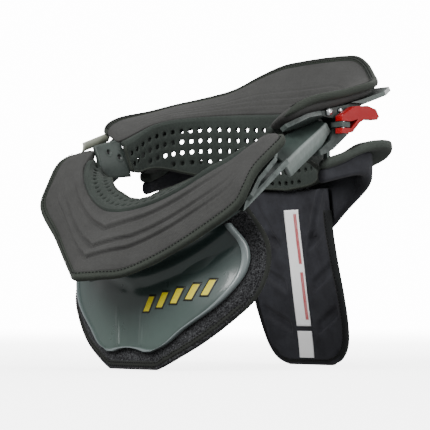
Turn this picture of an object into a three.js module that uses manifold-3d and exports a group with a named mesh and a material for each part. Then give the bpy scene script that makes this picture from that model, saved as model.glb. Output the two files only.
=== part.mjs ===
// Motocross neck brace, standing on the lower edges of its chest pad and its back strut.
// Millimetres. +X is the wearer's left, +Y the wearer's back, +Z up. The neck's centre is near x = 0, y = 0.
import * as THREE from "three";
import { mergeVertices } from "three/addons/utils/BufferGeometryUtils.js";
import Module from "manifold-3d";

const wasm = await Module();
wasm.setup();

// Clearances between pieces that touch or turn on each other
const SEAT_GAP = 0.4;
const SOFT_GAP = 0.8;
const RUNNING_GAP = 0.5;

// Inner edges of the two tables, round the neck
const FRONT_INNER_HALF_WIDTH = 96;
const FRONT_INNER_REACH = 88;
const REAR_INNER_HALF_WIDTH = 85;
const REAR_INNER_REACH = 95;

// Outer edges of the tables
const FRONT_HALF_WIDTH = 127;
const TIP_REACH = 132;
const REAR_HALF_WIDTH = 113;
const REAR_REACH = 137;

// Heights of the tables' top edges above the ground
const TIP_HEIGHT = 69;
const FRONT_RISE = 110;
const REAR_START_HEIGHT = 181;
const REAR_RISE = 75;

// Table pads, their hems and the plastic frames under them
const PAD_THICKNESS = 10;
const PAD_END_THICKNESS = 6;
const PAD_CROWN = 2.2;
const RIB_HEIGHT = 1.8;
const HEM_WIDTH = 7;
const HEM_THICKNESS = 6;
const FRAME_THICKNESS = 3.5;
const FRAME_INSET = 7;
const FRAME_SETBACK = 9;
const FRAME_LIP = 16;
const TABLE_STEPS = 12;

// Perforated liner round the neck opening
const LINER_THICKNESS = 4;
const LIP_REACH = 8;
const LIP_DROP = 2.5;
const LINER_LEAN = 0.28;
const FRONT_LINER_DROP = 20;
const REAR_LINER_DROP = 56;
const FRONT_LINER_EXTENT = 0.87;
const HOLE_RADIUS = 2.3;
const HOLE_PITCH = 13.5;
const HOLE_SIDES = 6;

// Chest plate and the felt pad behind it
const CHEST_FORWARD = 76;
const CHEST_SWEEP = 72;
const CHEST_HEIGHT = 124;
const SHELL_HALF_WIDTH = 97;
const SHELL_THICKNESS = 2.6;
const SHELL_BOTTOM = 14;
const SHELL_HEIGHT = 86;
const SHELL_LIFT = 9;
const SHELL_RIM = 1.6;
const NOTCH_DEPTH = 3;
const TAB_X = 36;
const TAB_WIDTH = 16;
const TAB_THICKNESS = 4;
const TAB_BOTTOM = 90;
const TAB_TOP = 116;
const CHEST_PAD_HALF_WIDTH = 108;
const CHEST_PAD_HEIGHT = 98;
const CHEST_PAD_LIFT = 26;
const CHEST_PAD_THICKNESS = 8;

// Slanted marks on the chest plate
const MARK_COUNT = 5;
const MARK_FIRST_X = 18;
const MARK_SPACING = 13;
const MARK_WIDTH = 8;
const MARK_HEIGHT = 14;
const MARK_FIRST_Z = 50;
const MARK_RISE = 3;
const MARK_THICKNESS = 0.8;

// Back pad: the strut down the spine and the wings round the shoulders
const STRUT_HALF_WIDTH = 49.5;
const STRUT_HEIGHT = 143;
const STRUT_THICKNESS = 13;
const STRUT_TOP_REACH = 104;
const FOOT_LEAN = 20;
const STRUT_WRAP = 9;
const WING_HALF_WIDTH = 106;
const WING_REACH = 107;
const WING_TOP = 166;
const WING_THICKNESS = 9;
const RIM_THICKNESS = 8;
const RIM_OVERHANG = 14;
const RIM_TURN_UP = 2;
const SPINE_HALF_WIDTH = 21;
const SPINE_THICKNESS = 4;
const SPINE_BOTTOM = 34;
const SPINE_TOP = 214.5;
const SPINE_TOP_REACH = 118;

// White patches on the strut
const PATCH_HALF_WIDTH = 8;
const PATCH_THICKNESS = 0.8;
const LONG_PATCH = [32, 127];
const SHORT_PATCH = [6, 28];

// Side rails: the arms, the link and the hinge lie in planes pitched up towards the back
const RAIL_PITCH = 37;
const RAIL_Y = -12;
const RAIL_Z = 160;
const ARM_INNER = 98;
const ARM_OUTER = 109;
const ARM_THICKNESS = 4.5;
const ARM_START = -66;
const ARM_END = -5;
const LINK_INNER = 91;
const LINK_OUTER = 107;
const LINK_THICKNESS = 4;
const LINK_DROP = 2.5;
const LINK_SKIRT = 11;
const LINK_END = 47;
const TOOTH = 2.2;
const BRACKET_INNER = 95;
const BRACKET_OUTER = 108.5;

// Hinge on the wearer's right
const PIN_X = -106;
const PIN_ALONG = -18;
const PIN_RADIUS = 3;
const EYE_RADIUS = 8.5;
const HINGE_DROP = 4.5;
const CHEEK_HOLE_RADIUS = 1.6;

// Release lever on the wearer's left
const LEVER_X = 114.5;
const LEVER_WIDTH = 7;
const LEVER_PIN_Y = 36;
const LEVER_PIN_RADIUS = 1.6;
const LUG_BOTTOM = 182.8;
const LUG_TOP = 186.6;
const RIVET_RADIUS = 3.1;
const SMALL_RIVET_RADIUS = 2.2;

const GREENISH_PLASTIC = { color: 0x4a5452, roughness: 0.42, metalness: 0.0 };
const GREY_PLASTIC = { color: 0x5f6b68, roughness: 0.45, metalness: 0.0 };
const DARK_FOAM = { color: 0x4b494a, roughness: 0.85, metalness: 0.0 };
const HEM_FABRIC = { color: 0x2e322f, roughness: 0.9, metalness: 0.0 };
const LINER_FOAM = { color: 0x232a28, roughness: 0.9, metalness: 0.0 };
const BLACK_FELT = { color: 0x17181a, roughness: 1.0, metalness: 0.0 };
const BLACK_FOAM = { color: 0x1b1b21, roughness: 0.85, metalness: 0.0 };
const RED_PLASTIC = { color: 0xb5121d, roughness: 0.35, metalness: 0.0 };
const YELLOW_INK = { color: 0xc9bd1c, roughness: 0.5, metalness: 0.0 };
const CHROME = { color: 0xd8dadc, roughness: 0.15, metalness: 1.0 };
const WHITE_TAPE = { color: 0xeceeed, roughness: 0.6, metalness: 0.0 };

// Edges of the tables from the middle (at 0) to the end at the side (at 1). Places are shares of the
// reach and half width of each edge, heights are shares of the table's rise.
const FRONT_EDGES = [
  { at: 0.0, inX: 0.0, inY: 1.0, inZ: 0.464, outX: 0.0, outY: 1.0, outZ: 0.0, rib: 1 },
  { at: 0.12, inX: 0.177, inY: 0.983, inZ: 0.477, outX: 0.11, outY: 0.936, outZ: 0.005, rib: 1 },
  { at: 0.25, inX: 0.344, inY: 0.926, inZ: 0.514, outX: 0.236, outY: 0.841, outZ: 0.02, rib: 1 },
  { at: 0.4, inX: 0.542, inY: 0.841, inZ: 0.591, outX: 0.449, outY: 0.727, outZ: 0.136, rib: 0.8 },
  { at: 0.55, inX: 0.708, inY: 0.75, inZ: 0.682, outX: 0.677, outY: 0.621, outZ: 0.3, rib: 0.5 },
  { at: 0.68, inX: 0.813, inY: 0.67, inZ: 0.745, outX: 0.882, outY: 0.553, outZ: 0.464, rib: 0.2 },
  { at: 0.76, inX: 0.885, inY: 0.602, inZ: 0.791, outX: 0.929, outY: 0.538, outZ: 0.564, rib: 0 },
  { at: 0.85, inX: 0.948, inY: 0.523, inZ: 0.855, outX: 0.945, outY: 0.47, outZ: 0.709, rib: 0 },
  { at: 0.93, inX: 0.99, inY: 0.42, inZ: 0.918, outX: 1.0, outY: 0.356, outZ: 0.864, rib: 0 },
  { at: 0.97, inX: 1.0, inY: 0.375, inZ: 0.945, outX: 0.99, outY: 0.282, outZ: 0.93, rib: 0 },
  { at: 1.0, inX: 1.01, inY: 0.34, inZ: 0.964, outX: 0.9, outY: 0.218, outZ: 0.975, rib: 0 },
];
const REAR_EDGES = [
  { at: 0.0, inX: 0.0, inY: 1.0, inZ: 0.347, outX: 0.0, outY: 1.0, outZ: 1.0, rib: 1, lip: 0 },
  { at: 0.12, inX: 0.2, inY: 0.99, inZ: 0.353, outX: 0.195, outY: 0.996, outZ: 0.993, rib: 1, lip: 0 },
  { at: 0.25, inX: 0.4, inY: 0.958, inZ: 0.365, outX: 0.372, outY: 0.96, outZ: 0.96, rib: 1, lip: 0 },
  { at: 0.38, inX: 0.588, inY: 0.874, inZ: 0.369, outX: 0.54, outY: 0.894, outZ: 0.853, rib: 1, lip: 0 },
  { at: 0.5, inX: 0.753, inY: 0.747, inZ: 0.36, outX: 0.708, outY: 0.799, outZ: 0.7, rib: 0.9, lip: 0.2 },
  { at: 0.6, inX: 0.859, inY: 0.6, inZ: 0.339, outX: 0.885, outY: 0.657, outZ: 0.6, rib: 0.7, lip: 1 },
  { at: 0.7, inX: 0.941, inY: 0.411, inZ: 0.301, outX: 0.982, outY: 0.526, outZ: 0.533, rib: 0.5, lip: 0.6 },
  { at: 0.8, inX: 0.982, inY: 0.2, inZ: 0.227, outX: 1.0, outY: 0.307, outZ: 0.427, rib: 0.2, lip: 0.1 },
  { at: 0.9, inX: 0.994, inY: 0.0, inZ: 0.107, outX: 0.987, outY: 0.058, outZ: 0.333, rib: 0, lip: 0 },
  { at: 0.96, inX: 1.0, inY: -0.09, inZ: 0.053, outX: 0.97, outY: -0.06, outZ: 0.24, rib: 0, lip: 0 },
  { at: 1.0, inX: 1.015, inY: -0.16, inZ: 0.02, outX: 0.93, outY: -0.105, outZ: 0.16, rib: 0, lip: 0 },
];
// The liner at each place: its depth and its lip's reach as shares of their full sizes, and for the front
// the turn of its wall in degrees, from 0 in the table's own plane to 90 square to it
const FRONT_HANG = [
  { at: 0, liner: 1.0, lip: 0.4, turn: 27 },
  { at: 0.35, liner: 1.0, lip: 0.45, turn: 40 },
  { at: 0.6, liner: 1.0, lip: 0.7, turn: 64 },
  { at: 1, liner: 0.95, lip: 1.0, turn: 100 },
];
const REAR_HANG = [
  { at: 0, liner: 1.0, lip: 1.0 },
  { at: 0.3, liner: 0.95, lip: 1.0 },
  { at: 0.6, liner: 0.78, lip: 1.0 },
  { at: 0.85, liner: 0.5, lip: 1.0 },
  { at: 1, liner: 0.36, lip: 1.0 },
];
// The chest's surface at each height: how far back its middle lies and how strongly its sides wrap
const CHEST_SURFACE = [
  { at: 0.0, middle: 0.0, wrap: 0.3 },
  { at: 0.17, middle: 0.03, wrap: 0.32 },
  { at: 0.32, middle: 0.07, wrap: 0.33 },
  { at: 0.47, middle: 0.1, wrap: 0.35 },
  { at: 0.62, middle: 0.12, wrap: 0.4 },
  { at: 0.75, middle: 0.1, wrap: 0.44 },
  { at: 0.87, middle: 0.02, wrap: 0.5 },
  { at: 1.0, middle: -0.06, wrap: 0.56 },
];
// Rows of the chest plate, the felt pad and the strut from the foot up: half width, and how much the
// row's ends turn up
const SHELL_ROWS = [
  { at: 0.0, half: 0.25, lift: 0 },
  { at: 0.065, half: 0.39, lift: 0 },
  { at: 0.195, half: 0.54, lift: 0 },
  { at: 0.39, half: 0.79, lift: 0 },
  { at: 0.57, half: 0.94, lift: 0.05 },
  { at: 0.72, half: 1.0, lift: 0.25 },
  { at: 0.85, half: 0.99, lift: 0.6 },
  { at: 1.0, half: 0.89, lift: 1 },
];
const CHEST_PAD_ROWS = [
  { at: 0.0, half: 0.24, lift: 0 },
  { at: 0.06, half: 0.36, lift: 0 },
  { at: 0.21, half: 0.61, lift: 0 },
  { at: 0.4, half: 0.83, lift: 0 },
  { at: 0.55, half: 0.96, lift: 0.05 },
  { at: 0.7, half: 1.0, lift: 0.25 },
  { at: 0.85, half: 0.98, lift: 0.6 },
  { at: 1.0, half: 0.87, lift: 1 },
];
const STRUT_ROWS = [
  { at: 0.0, half: 0.46, lean: 1.0, wrap: 0 },
  { at: 0.03, half: 0.7, lean: 0.98, wrap: 0 },
  { at: 0.1, half: 0.88, lean: 0.93, wrap: 0.1 },
  { at: 0.22, half: 0.98, lean: 0.8, wrap: 0.3 },
  { at: 0.4, half: 1.03, lean: 0.58, wrap: 0.6 },
  { at: 0.58, half: 1.0, lean: 0.38, wrap: 0.8 },
  { at: 0.75, half: 0.98, lean: 0.18, wrap: 0.9 },
  { at: 0.9, half: 1.0, lean: 0.03, wrap: 1 },
  { at: 1.0, half: 0.96, lean: 0.0, wrap: 1 },
];
// The wings from the middle of the back (at 0) to their front ends at the shoulders (at 1)
const WING_ROWS = [
  { at: 0.0, x: 0.0, y: 1.0, low: 0.62, high: 0.87, over: 0.3 },
  { at: 0.15, x: 0.28, y: 0.97, low: 0.63, high: 0.88, over: 0.35 },
  { at: 0.3, x: 0.56, y: 0.92, low: 0.74, high: 0.91, over: 0.5 },
  { at: 0.45, x: 0.8, y: 0.86, low: 0.83, high: 0.96, over: 0.85 },
  { at: 0.58, x: 0.95, y: 0.73, low: 0.88, high: 1.0, over: 1 },
  { at: 0.7, x: 1.0, y: 0.58, low: 0.89, high: 0.99, over: 0.7 },
  { at: 0.85, x: 0.98, y: 0.42, low: 0.87, high: 0.94, over: 0.3 },
  { at: 1.0, x: 0.94, y: 0.24, low: 0.84, high: 0.9, over: 0.1 },
];
// Outlines seen from the side, as places along y and heights
const BRACKET_OUTLINE = [
  [19, 161], [17.5, 164.5], [29, 173], [33, 182], [34.5, 189.5], [22, 190.5], [21, 199],
  [62, 208], [64, 193], [56, 184], [46, 177], [32, 166],
];
const LEVER_OUTLINE = [
  [32, 178], [32, 182], [42, 182.2], [49.5, 189.5], [42, 187.4], [32, 187.2], [32, 191], [46, 199],
  [60, 200.6], [70, 198.3], [73.5, 193], [71, 190.3], [57.5, 190], [51.5, 187], [43.5, 179.2], [37, 178],
];

const v3 = (x, y, z) => new THREE.Vector3(x, y, z);

// A column's value at a place along a table, on a smooth curve through its rows.
function along(rows, column, at) {
  let i = 0;
  while (i < rows.length - 2 && at > rows[i + 1].at) i += 1;
  const slope = (k) => {
    const a = rows[Math.max(0, k - 1)];
    const b = rows[Math.min(rows.length - 1, k + 1)];
    return (b[column] - a[column]) / (b.at - a.at);
  };
  const [p, q] = [rows[i], rows[i + 1]];
  const span = q.at - p.at;
  const t = THREE.MathUtils.clamp((at - p.at) / span, 0, 1);
  const t2 = t * t;
  const t3 = t2 * t;
  return (
    (2 * t3 - 3 * t2 + 1) * p[column] +
    (t3 - 2 * t2 + t) * span * slope(i) +
    (3 * t2 - 2 * t3) * q[column] +
    (t3 - t2) * span * slope(i + 1)
  );
}

// A closed body through rings of points that all have the same count. flats are flat drawings of the
// first and the last ring, used to fill in the two ends. Without them the ends are filled between the
// first and the second half of each ring.
function loft(rings, flats = null) {
  const size = rings[0].length;
  const faces = [];
  for (let r = 0; r + 1 < rings.length; r += 1) {
    for (let i = 0; i < size; i += 1) {
      const a = r * size + i;
      const b = r * size + ((i + 1) % size);
      faces.push([a, b, b + size], [a, b + size, a + size]);
    }
  }
  const fill = (flat, first, forward) => {
    const turn = Math.sign(THREE.ShapeUtils.area(flat));
    for (const [a, b, c] of THREE.ShapeUtils.triangulateShape(flat, [])) {
      const follows = Math.sign(THREE.ShapeUtils.area([flat[a], flat[b], flat[c]])) === turn;
      faces.push(follows === forward ? [first + a, first + b, first + c] : [first + a, first + c, first + b]);
    }
  };
  const stripe = (first, forward) => {
    for (let i = 0; i + 1 < size / 2; i += 1) {
      const [a, b] = [first + i, first + i + 1];
      const [c, d] = [first + size - 2 - i, first + size - 1 - i];
      faces.push(forward ? [a, b, c] : [a, c, b], forward ? [a, c, d] : [a, d, c]);
    }
  };
  const last = (rings.length - 1) * size;
  if (flats) {
    fill(flats[0], 0, false);
    fill(flats[1], last, true);
  } else {
    stripe(0, false);
    stripe(last, true);
  }
  const geometry = new THREE.BufferGeometry();
  const points = rings.flat().flatMap((p) => p.toArray());
  geometry.setAttribute("position", new THREE.Float32BufferAttribute(points, 3));
  geometry.setIndex(faces.flat());
  return facingOut(geometry);
}

// Turns the faces round if the body is inside out.
function facingOut(geometry) {
  const at = geometry.getAttribute("position");
  const index = geometry.index.array;
  const [a, b, c] = [v3(), v3(), v3()];
  let volume = 0;
  for (let i = 0; i < index.length; i += 3) {
    a.fromBufferAttribute(at, index[i]);
    b.fromBufferAttribute(at, index[i + 1]);
    c.fromBufferAttribute(at, index[i + 2]);
    volume += a.dot(b.cross(c));
  }
  if (volume < 0) {
    for (let i = 0; i < index.length; i += 3) [index[i + 1], index[i + 2]] = [index[i + 2], index[i + 1]];
  }
  return geometry;
}

function toSolid(geometry) {
  const bare = geometry.clone();
  bare.deleteAttribute("normal");
  bare.deleteAttribute("uv");
  const merged = mergeVertices(bare, 1e-4);
  return new wasm.Manifold(
    new wasm.Mesh({
      numProp: 3,
      vertProperties: merged.attributes.position.array,
      triVerts: new Uint32Array(merged.index.array),
    }),
  );
}

function toGeometry(solid) {
  const mesh = solid.getMesh();
  const geometry = new THREE.BufferGeometry();
  geometry.setAttribute("position", new THREE.Float32BufferAttribute(mesh.vertProperties, 3));
  geometry.setIndex(Array.from(mesh.triVerts));
  return geometry;
}

// Cuts bodies away and keeps the largest piece that is left.
function cut(geometry, cutters) {
  let solid = toSolid(geometry);
  for (const cutter of cutters) solid = solid.subtract(toSolid(cutter));
  const pieces = solid.decompose().sort((a, b) => b.volume() - a.volume());
  return toGeometry(pieces[0].simplify(0.02));
}

function join(geometries) {
  return toGeometry(geometries.map(toSolid).reduce((all, one) => all.add(one)));
}

// A place on a table: its inner and outer edge, and the directions across it and up from it.
function tableStation(table, at) {
  const edge = (where) => {
    const a = Math.min(1, Math.abs(where));
    const s = Math.sign(where);
    const height = (share) => table.base + share * table.rise;
    const { edges } = table;
    const inX = s * along(edges, "inX", a) * table.innerX;
    const outX = s * along(edges, "outX", a) * table.outerX;
    const inner = v3(inX, along(edges, "inY", a) * table.innerY, height(along(edges, "inZ", a)));
    const outer = v3(outX, along(edges, "outY", a) * table.outerY, height(along(edges, "outZ", a)));
    return { inner, outer, middle: inner.clone().add(outer).multiplyScalar(0.5) };
  };
  const here = edge(at);
  const tangent = edge(Math.min(1, at + 0.02)).middle.sub(edge(Math.max(-1, at - 0.02)).middle);
  const across = here.outer.clone().sub(here.inner);
  const width = across.length();
  across.normalize();
  const up = tangent.cross(across).normalize();
  if (up.z < 0) up.negate();
  const point = (u, h) => here.inner.clone().addScaledVector(across, u).addScaledVector(up, h);
  return { at, a: Math.abs(at), across, width, point };
}

const FRONT = {
  edges: FRONT_EDGES,
  innerX: FRONT_INNER_HALF_WIDTH,
  innerY: -FRONT_INNER_REACH,
  outerX: FRONT_HALF_WIDTH,
  outerY: -TIP_REACH,
  base: TIP_HEIGHT,
  rise: FRONT_RISE,
  hang: FRONT_HANG,
  drop: FRONT_LINER_DROP,
  wallTurn: (s) => THREE.MathUtils.degToRad(along(FRONT_HANG, "turn", s.a)),
};
const REAR = {
  edges: REAR_EDGES,
  innerX: REAR_INNER_HALF_WIDTH,
  innerY: REAR_INNER_REACH,
  outerX: REAR_HALF_WIDTH,
  outerY: REAR_REACH,
  base: REAR_START_HEIGHT,
  rise: REAR_RISE,
  hang: REAR_HANG,
  drop: REAR_LINER_DROP,
  wallTurn: (s) => Math.acos(Math.max(-LINER_LEAN, s.across.z)),
};

// A body that follows a table. section gives its ring at one station as pairs: distance from the inner
// edge and height over the table's surface. reach is how much of the table it follows.
function onTable(table, section, reach = 1) {
  const stations = [];
  for (let i = -TABLE_STEPS; i <= TABLE_STEPS; i += 1) {
    stations.push(tableStation(table, (reach * i) / TABLE_STEPS));
  }
  const flat = stations.map(section);
  const rings = flat.map((ring, i) => ring.map(([u, h]) => stations[i].point(u, h)));
  const ends = [flat[0], flat[flat.length - 1]];
  return loft(rings, ends.map((ring) => ring.map(([u, h]) => new THREE.Vector2(u, h))));
}

const hemWidth = (s) => Math.min(HEM_WIDTH, s.width * 0.35);
const padDepth = (s) => PAD_THICKNESS + (PAD_END_THICKNESS - PAD_THICKNESS) * Math.max(0, 5 * s.a - 4) ** 2;

// The pad's top is crowned, with ribs that run along it and fade out to the sides.
function padSection(table, ribs) {
  return (s) => {
    const width = s.width - hemWidth(s) - SOFT_GAP;
    const rib = along(table.edges, "rib", s.a) * RIB_HEIGHT;
    const count = 2 * ribs + 1;
    const ring = [[0, -padDepth(s)], [0, -LIP_DROP]];
    for (let i = 0; i <= count + 1; i += 1) {
      const share = 0.06 + (0.88 * i) / (count + 1);
      const crown = PAD_CROWN * Math.sin(Math.PI * share) ** 0.6;
      ring.push([share * width, crown + (i % 2 ? rib : 0)]);
    }
    ring.push([width, -LIP_DROP], [width, -padDepth(s)]);
    return ring;
  };
}

function hemSection(s) {
  const inner = s.width - hemWidth(s);
  const crown = 0.6;
  return [
    [inner, -HEM_THICKNESS],
    [inner, -crown],
    [inner + 0.3 * hemWidth(s), 0],
    [s.width - crown, -crown],
    [s.width, -HEM_THICKNESS / 2],
    [s.width - crown, -HEM_THICKNESS],
  ];
}

// The room that a table's pad and hem take, for cutting their seats in other pieces.
function seatSection(s) {
  const under = -padDepth(s) - SOFT_GAP;
  return [[-3, under], [-3, 6], [s.width + SOFT_GAP, 6], [s.width + SOFT_GAP, under]];
}

function frameSection(s) {
  const top = -padDepth(s) - 1.5 * SOFT_GAP;
  const outer = s.width - FRAME_SETBACK;
  return [
    [FRAME_INSET, top - FRAME_THICKNESS],
    [FRAME_INSET, top],
    [outer, top],
    [outer, top - FRAME_THICKNESS],
  ];
}

// The rear frame's outer edge comes out beyond the pad at the table's corners.
function rearFrameSection(s) {
  const ring = frameSection(s);
  const lip = along(REAR_EDGES, "lip", s.a) * FRAME_LIP;
  ring[2][0] += lip;
  ring[3][0] += lip;
  return ring;
}

// The liner's lip lies against the pad's inner edge, and its wall hangs from the lip.
function linerWall(table, s) {
  const room = table.drop * along(table.hang, "liner", s.a);
  const lip = along(table.hang, "lip", s.a);
  const turn = table.wallTurn(s);
  const wall = new THREE.Vector2(-Math.cos(turn), -Math.sin(turn));
  const outward = new THREE.Vector2(-wall.y, wall.x);
  const top = new THREE.Vector2(-LIP_REACH * lip, -LIP_DROP * lip);
  return { room, lip, wall, outward, top, foot: top.clone().addScaledVector(wall, room) };
}

function linerSection(table) {
  return (s) => {
    const { lip, wall, outward, top, foot } = linerWall(table, s);
    const footOut = foot.clone().addScaledVector(outward, LINER_THICKNESS);
    const underLip = top.clone().addScaledVector(outward, LINER_THICKNESS);
    underLip.addScaledVector(wall, LINER_THICKNESS);
    return [
      [-SEAT_GAP, -1],
      [-0.55 * LIP_REACH * lip, 0.4],
      top.toArray(),
      foot.toArray(),
      footOut.toArray(),
      underLip.toArray(),
      [-SEAT_GAP, -1 - LINER_THICKNESS],
    ];
  };
}

// Round holes in rows down the liner's wall, at one pitch along it.
function linerHoles(table) {
  const cutters = [];
  const steps = 200;
  let travelled = 0;
  let before = tableStation(table, -0.985).point(-LIP_REACH, 0);
  for (let i = 1; i <= steps; i += 1) {
    const s = tableStation(table, 0.985 * ((2 * i) / steps - 1));
    const here = s.point(-LIP_REACH, 0);
    const distance = here.distanceTo(before);
    before = here;
    const count = Math.floor((travelled + distance) / HOLE_PITCH) - Math.floor(travelled / HOLE_PITCH);
    travelled += distance;
    if (count === 0) continue;
    const { room, wall, outward, top } = linerWall(table, s);
    for (let depth = 5; depth + HOLE_RADIUS + 2 < room; depth += HOLE_PITCH) {
      const centre = top.clone().addScaledVector(wall, depth).addScaledVector(outward, LINER_THICKNESS / 2);
      const tip = centre.clone().add(outward);
      const from = s.point(centre.x, centre.y);
      const axis = s.point(tip.x, tip.y).sub(from).normalize();
      const hole = new THREE.CylinderGeometry(HOLE_RADIUS, HOLE_RADIUS, 3 * LINER_THICKNESS, HOLE_SIDES);
      hole.applyQuaternion(new THREE.Quaternion().setFromUnitVectors(v3(0, 1, 0), axis));
      hole.translate(from.x, from.y, from.z);
      cutters.push(hole);
    }
  }
  return cutters;
}

// A curved panel that follows a surface y(x, z). place gives x and z at s from -1 to 1 across and t from
// 0 to 1 upwards. near and far are how far its two faces lie from the surface.
function panel(surface, place, near, far, across, rows) {
  const rings = [];
  for (let j = 0; j <= rows; j += 1) {
    const front = [];
    const back = [];
    for (const s of across) {
      const { x, z } = place(s, j / rows);
      const y = surface(x, z);
      front.push(v3(x, y + near(s, j / rows), z));
      back.unshift(v3(x, y + far(s, j / rows), z));
    }
    rings.push([...front, ...back]);
  }
  return loft(rings);
}

const evenly = (count) => Array.from({ length: count + 1 }, (_, i) => (2 * i) / count - 1);
const denserAtFoot = (t) => t ** 1.3;

function chestSurface(x, z) {
  const at = THREE.MathUtils.clamp(z / CHEST_HEIGHT, 0, 1);
  const bend = (x / CHEST_PAD_HALF_WIDTH) ** 2;
  const sweep = along(CHEST_SURFACE, "middle", at) + along(CHEST_SURFACE, "wrap", at) * bend;
  return -CHEST_FORWARD + sweep * CHEST_SWEEP;
}

function strutSurface(x, z) {
  const at = THREE.MathUtils.clamp(z / STRUT_HEIGHT, 0, 1);
  const bend = (x / STRUT_HALF_WIDTH) ** 2;
  const wrap = along(STRUT_ROWS, "wrap", at) * STRUT_WRAP * bend;
  return STRUT_TOP_REACH + along(STRUT_ROWS, "lean", at) * FOOT_LEAN - wrap;
}

const rounded = (full) => (s, t) => full * (1 - 0.55 * Math.max(s ** 8, (2 * t - 1) ** 10));

function rowPlace(rows, halfWidth, bottom, height, lift) {
  return (s, t) => {
    const at = denserAtFoot(t);
    const x = s * along(rows, "half", at) * halfWidth;
    return { x, z: bottom + at * height + (lift ? along(rows, "lift", at) * lift * s * s : 0) };
  };
}

function shellPlace(s, t) {
  const place = rowPlace(SHELL_ROWS, SHELL_HALF_WIDTH, SHELL_BOTTOM, SHELL_HEIGHT, SHELL_LIFT)(s, t);
  const notch = NOTCH_DEPTH * Math.max(0, 1 - (s / 0.7) ** 2) * Math.max(0, 1 - t / 0.2);
  return { x: place.x, z: place.z + notch };
}

function wingStation(at) {
  const a = Math.abs(at);
  const where = (k) => {
    const b = Math.min(1, Math.abs(k));
    return v3(
      Math.sign(k) * along(WING_ROWS, "x", b) * WING_HALF_WIDTH,
      along(WING_ROWS, "y", b) * WING_REACH,
      0,
    );
  };
  const tangent = where(Math.min(1, at + 0.02)).sub(where(Math.max(-1, at - 0.02))).normalize();
  const outward = v3(-tangent.y, tangent.x, 0);
  const foot = where(at);
  return {
    low: along(WING_ROWS, "low", a) * WING_TOP,
    high: along(WING_ROWS, "high", a) * WING_TOP,
    over: along(WING_ROWS, "over", a) * RIM_OVERHANG,
    point: (n, z) => foot.clone().addScaledVector(outward, n).setZ(z),
  };
}

function onWings(section, halfCount) {
  const rings = [];
  const flats = [];
  for (let i = -halfCount; i <= halfCount; i += 1) {
    const s = wingStation(i / halfCount);
    const flat = section(s);
    rings.push(flat.map(([n, z]) => s.point(n, z)));
    flats.push(flat.map(([n, z]) => new THREE.Vector2(n, z)));
  }
  return loft(rings, [flats[0], flats[flats.length - 1]]);
}

function wingSection(s) {
  const half = WING_THICKNESS / 2;
  return [
    [-half, s.low + 3],
    [-half, s.high - 2],
    [-half + 2, s.high],
    [half, s.high],
    [half, s.low + 3],
    [0, s.low],
  ];
}

function rimSection(s) {
  const half = WING_THICKNESS / 2;
  const bottom = s.high + SEAT_GAP;
  const top = bottom + RIM_THICKNESS;
  return [
    [-half + 1, bottom],
    [half, bottom],
    [half + s.over, bottom + RIM_TURN_UP],
    [half + s.over + 1.5, bottom + RIM_TURN_UP + RIM_THICKNESS / 2],
    [half + s.over, top + RIM_TURN_UP - 1],
    [half, top],
    [-half + 2, top - 1],
    [-half, bottom + 2],
  ];
}

// A plate in the rails' pitched plane. The outline is given as pairs: x and the distance along the rail.
const railSlope = THREE.MathUtils.degToRad(RAIL_PITCH);
const railUp = v3(0, -Math.sin(railSlope), Math.cos(railSlope));
const railAlong = v3(0, Math.cos(railSlope), Math.sin(railSlope));
const railFrame = new THREE.Matrix4().makeBasis(v3(1, 0, 0), railAlong, railUp);
railFrame.setPosition(0, RAIL_Y, RAIL_Z);

function railPlate(outline, bottom, top) {
  const shape = new THREE.Shape(outline.map(([x, a]) => new THREE.Vector2(x, a)));
  const plate = new THREE.ExtrudeGeometry(shape, { depth: top - bottom, bevelEnabled: false });
  plate.translate(0, 0, bottom);
  return plate.applyMatrix4(railFrame);
}

// A round bore square to the rails' plane, about the hinge pin.
function pinBore(clearance) {
  const radius = PIN_RADIUS + clearance;
  const bore = new THREE.CylinderGeometry(radius, radius, 60, 16).rotateX(Math.PI / 2);
  return bore.translate(PIN_X, PIN_ALONG, 0).applyMatrix4(railFrame);
}

// A block with an outline seen from the side, from one x to another.
function sideBlock(outline, from, to) {
  const shape = new THREE.Shape(outline.map(([y, z]) => new THREE.Vector2(y, z)));
  const block = new THREE.ExtrudeGeometry(shape, { depth: to - from, bevelEnabled: false });
  const frame = new THREE.Matrix4().makeBasis(v3(0, 1, 0), v3(0, 0, 1), v3(1, 0, 0));
  block.translate(0, 0, from);
  return block.applyMatrix4(frame);
}

function box(x, y, z) {
  const size = [x[1] - x[0], y[1] - y[0], z[1] - z[0]];
  return new THREE.BoxGeometry(...size).translate((x[0] + x[1]) / 2, (y[0] + y[1]) / 2, (z[0] + z[1]) / 2);
}

// An outline with a round end about the hinge pin.
function withEye(sides, radius) {
  const eye = [];
  for (let i = 0; i <= 8; i += 1) {
    const turn = Math.PI * (i / 8);
    eye.push([PIN_X + radius * Math.cos(turn), PIN_ALONG + sides.way * radius * Math.sin(turn)]);
  }
  return [...eye, ...sides.rest];
}

// A pin or rivet turned about an axis, from a profile of pairs: radius and distance along the axis.
function turned(profile, axis, at, segments = 16) {
  const geometry = new THREE.LatheGeometry(profile.map(([r, z]) => new THREE.Vector2(r, z)), segments);
  geometry.applyQuaternion(new THREE.Quaternion().setFromUnitVectors(v3(0, 1, 0), axis));
  return geometry.translate(at.x, at.y, at.z);
}

const dome = (radius) => [[0, 0], [radius, 0], [radius * 0.92, radius * 0.35], [radius * 0.5, radius * 0.75],
  [0, radius * 0.85]];

const brace = new THREE.Group();
function add(name, geometry, look) {
  const mesh = new THREE.Mesh(geometry, new THREE.MeshStandardMaterial(look));
  mesh.name = name;
  brace.add(mesh);
}

const frontSeat = onTable(FRONT, seatSection);
const rearSeat = onTable(REAR, seatSection);

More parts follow.
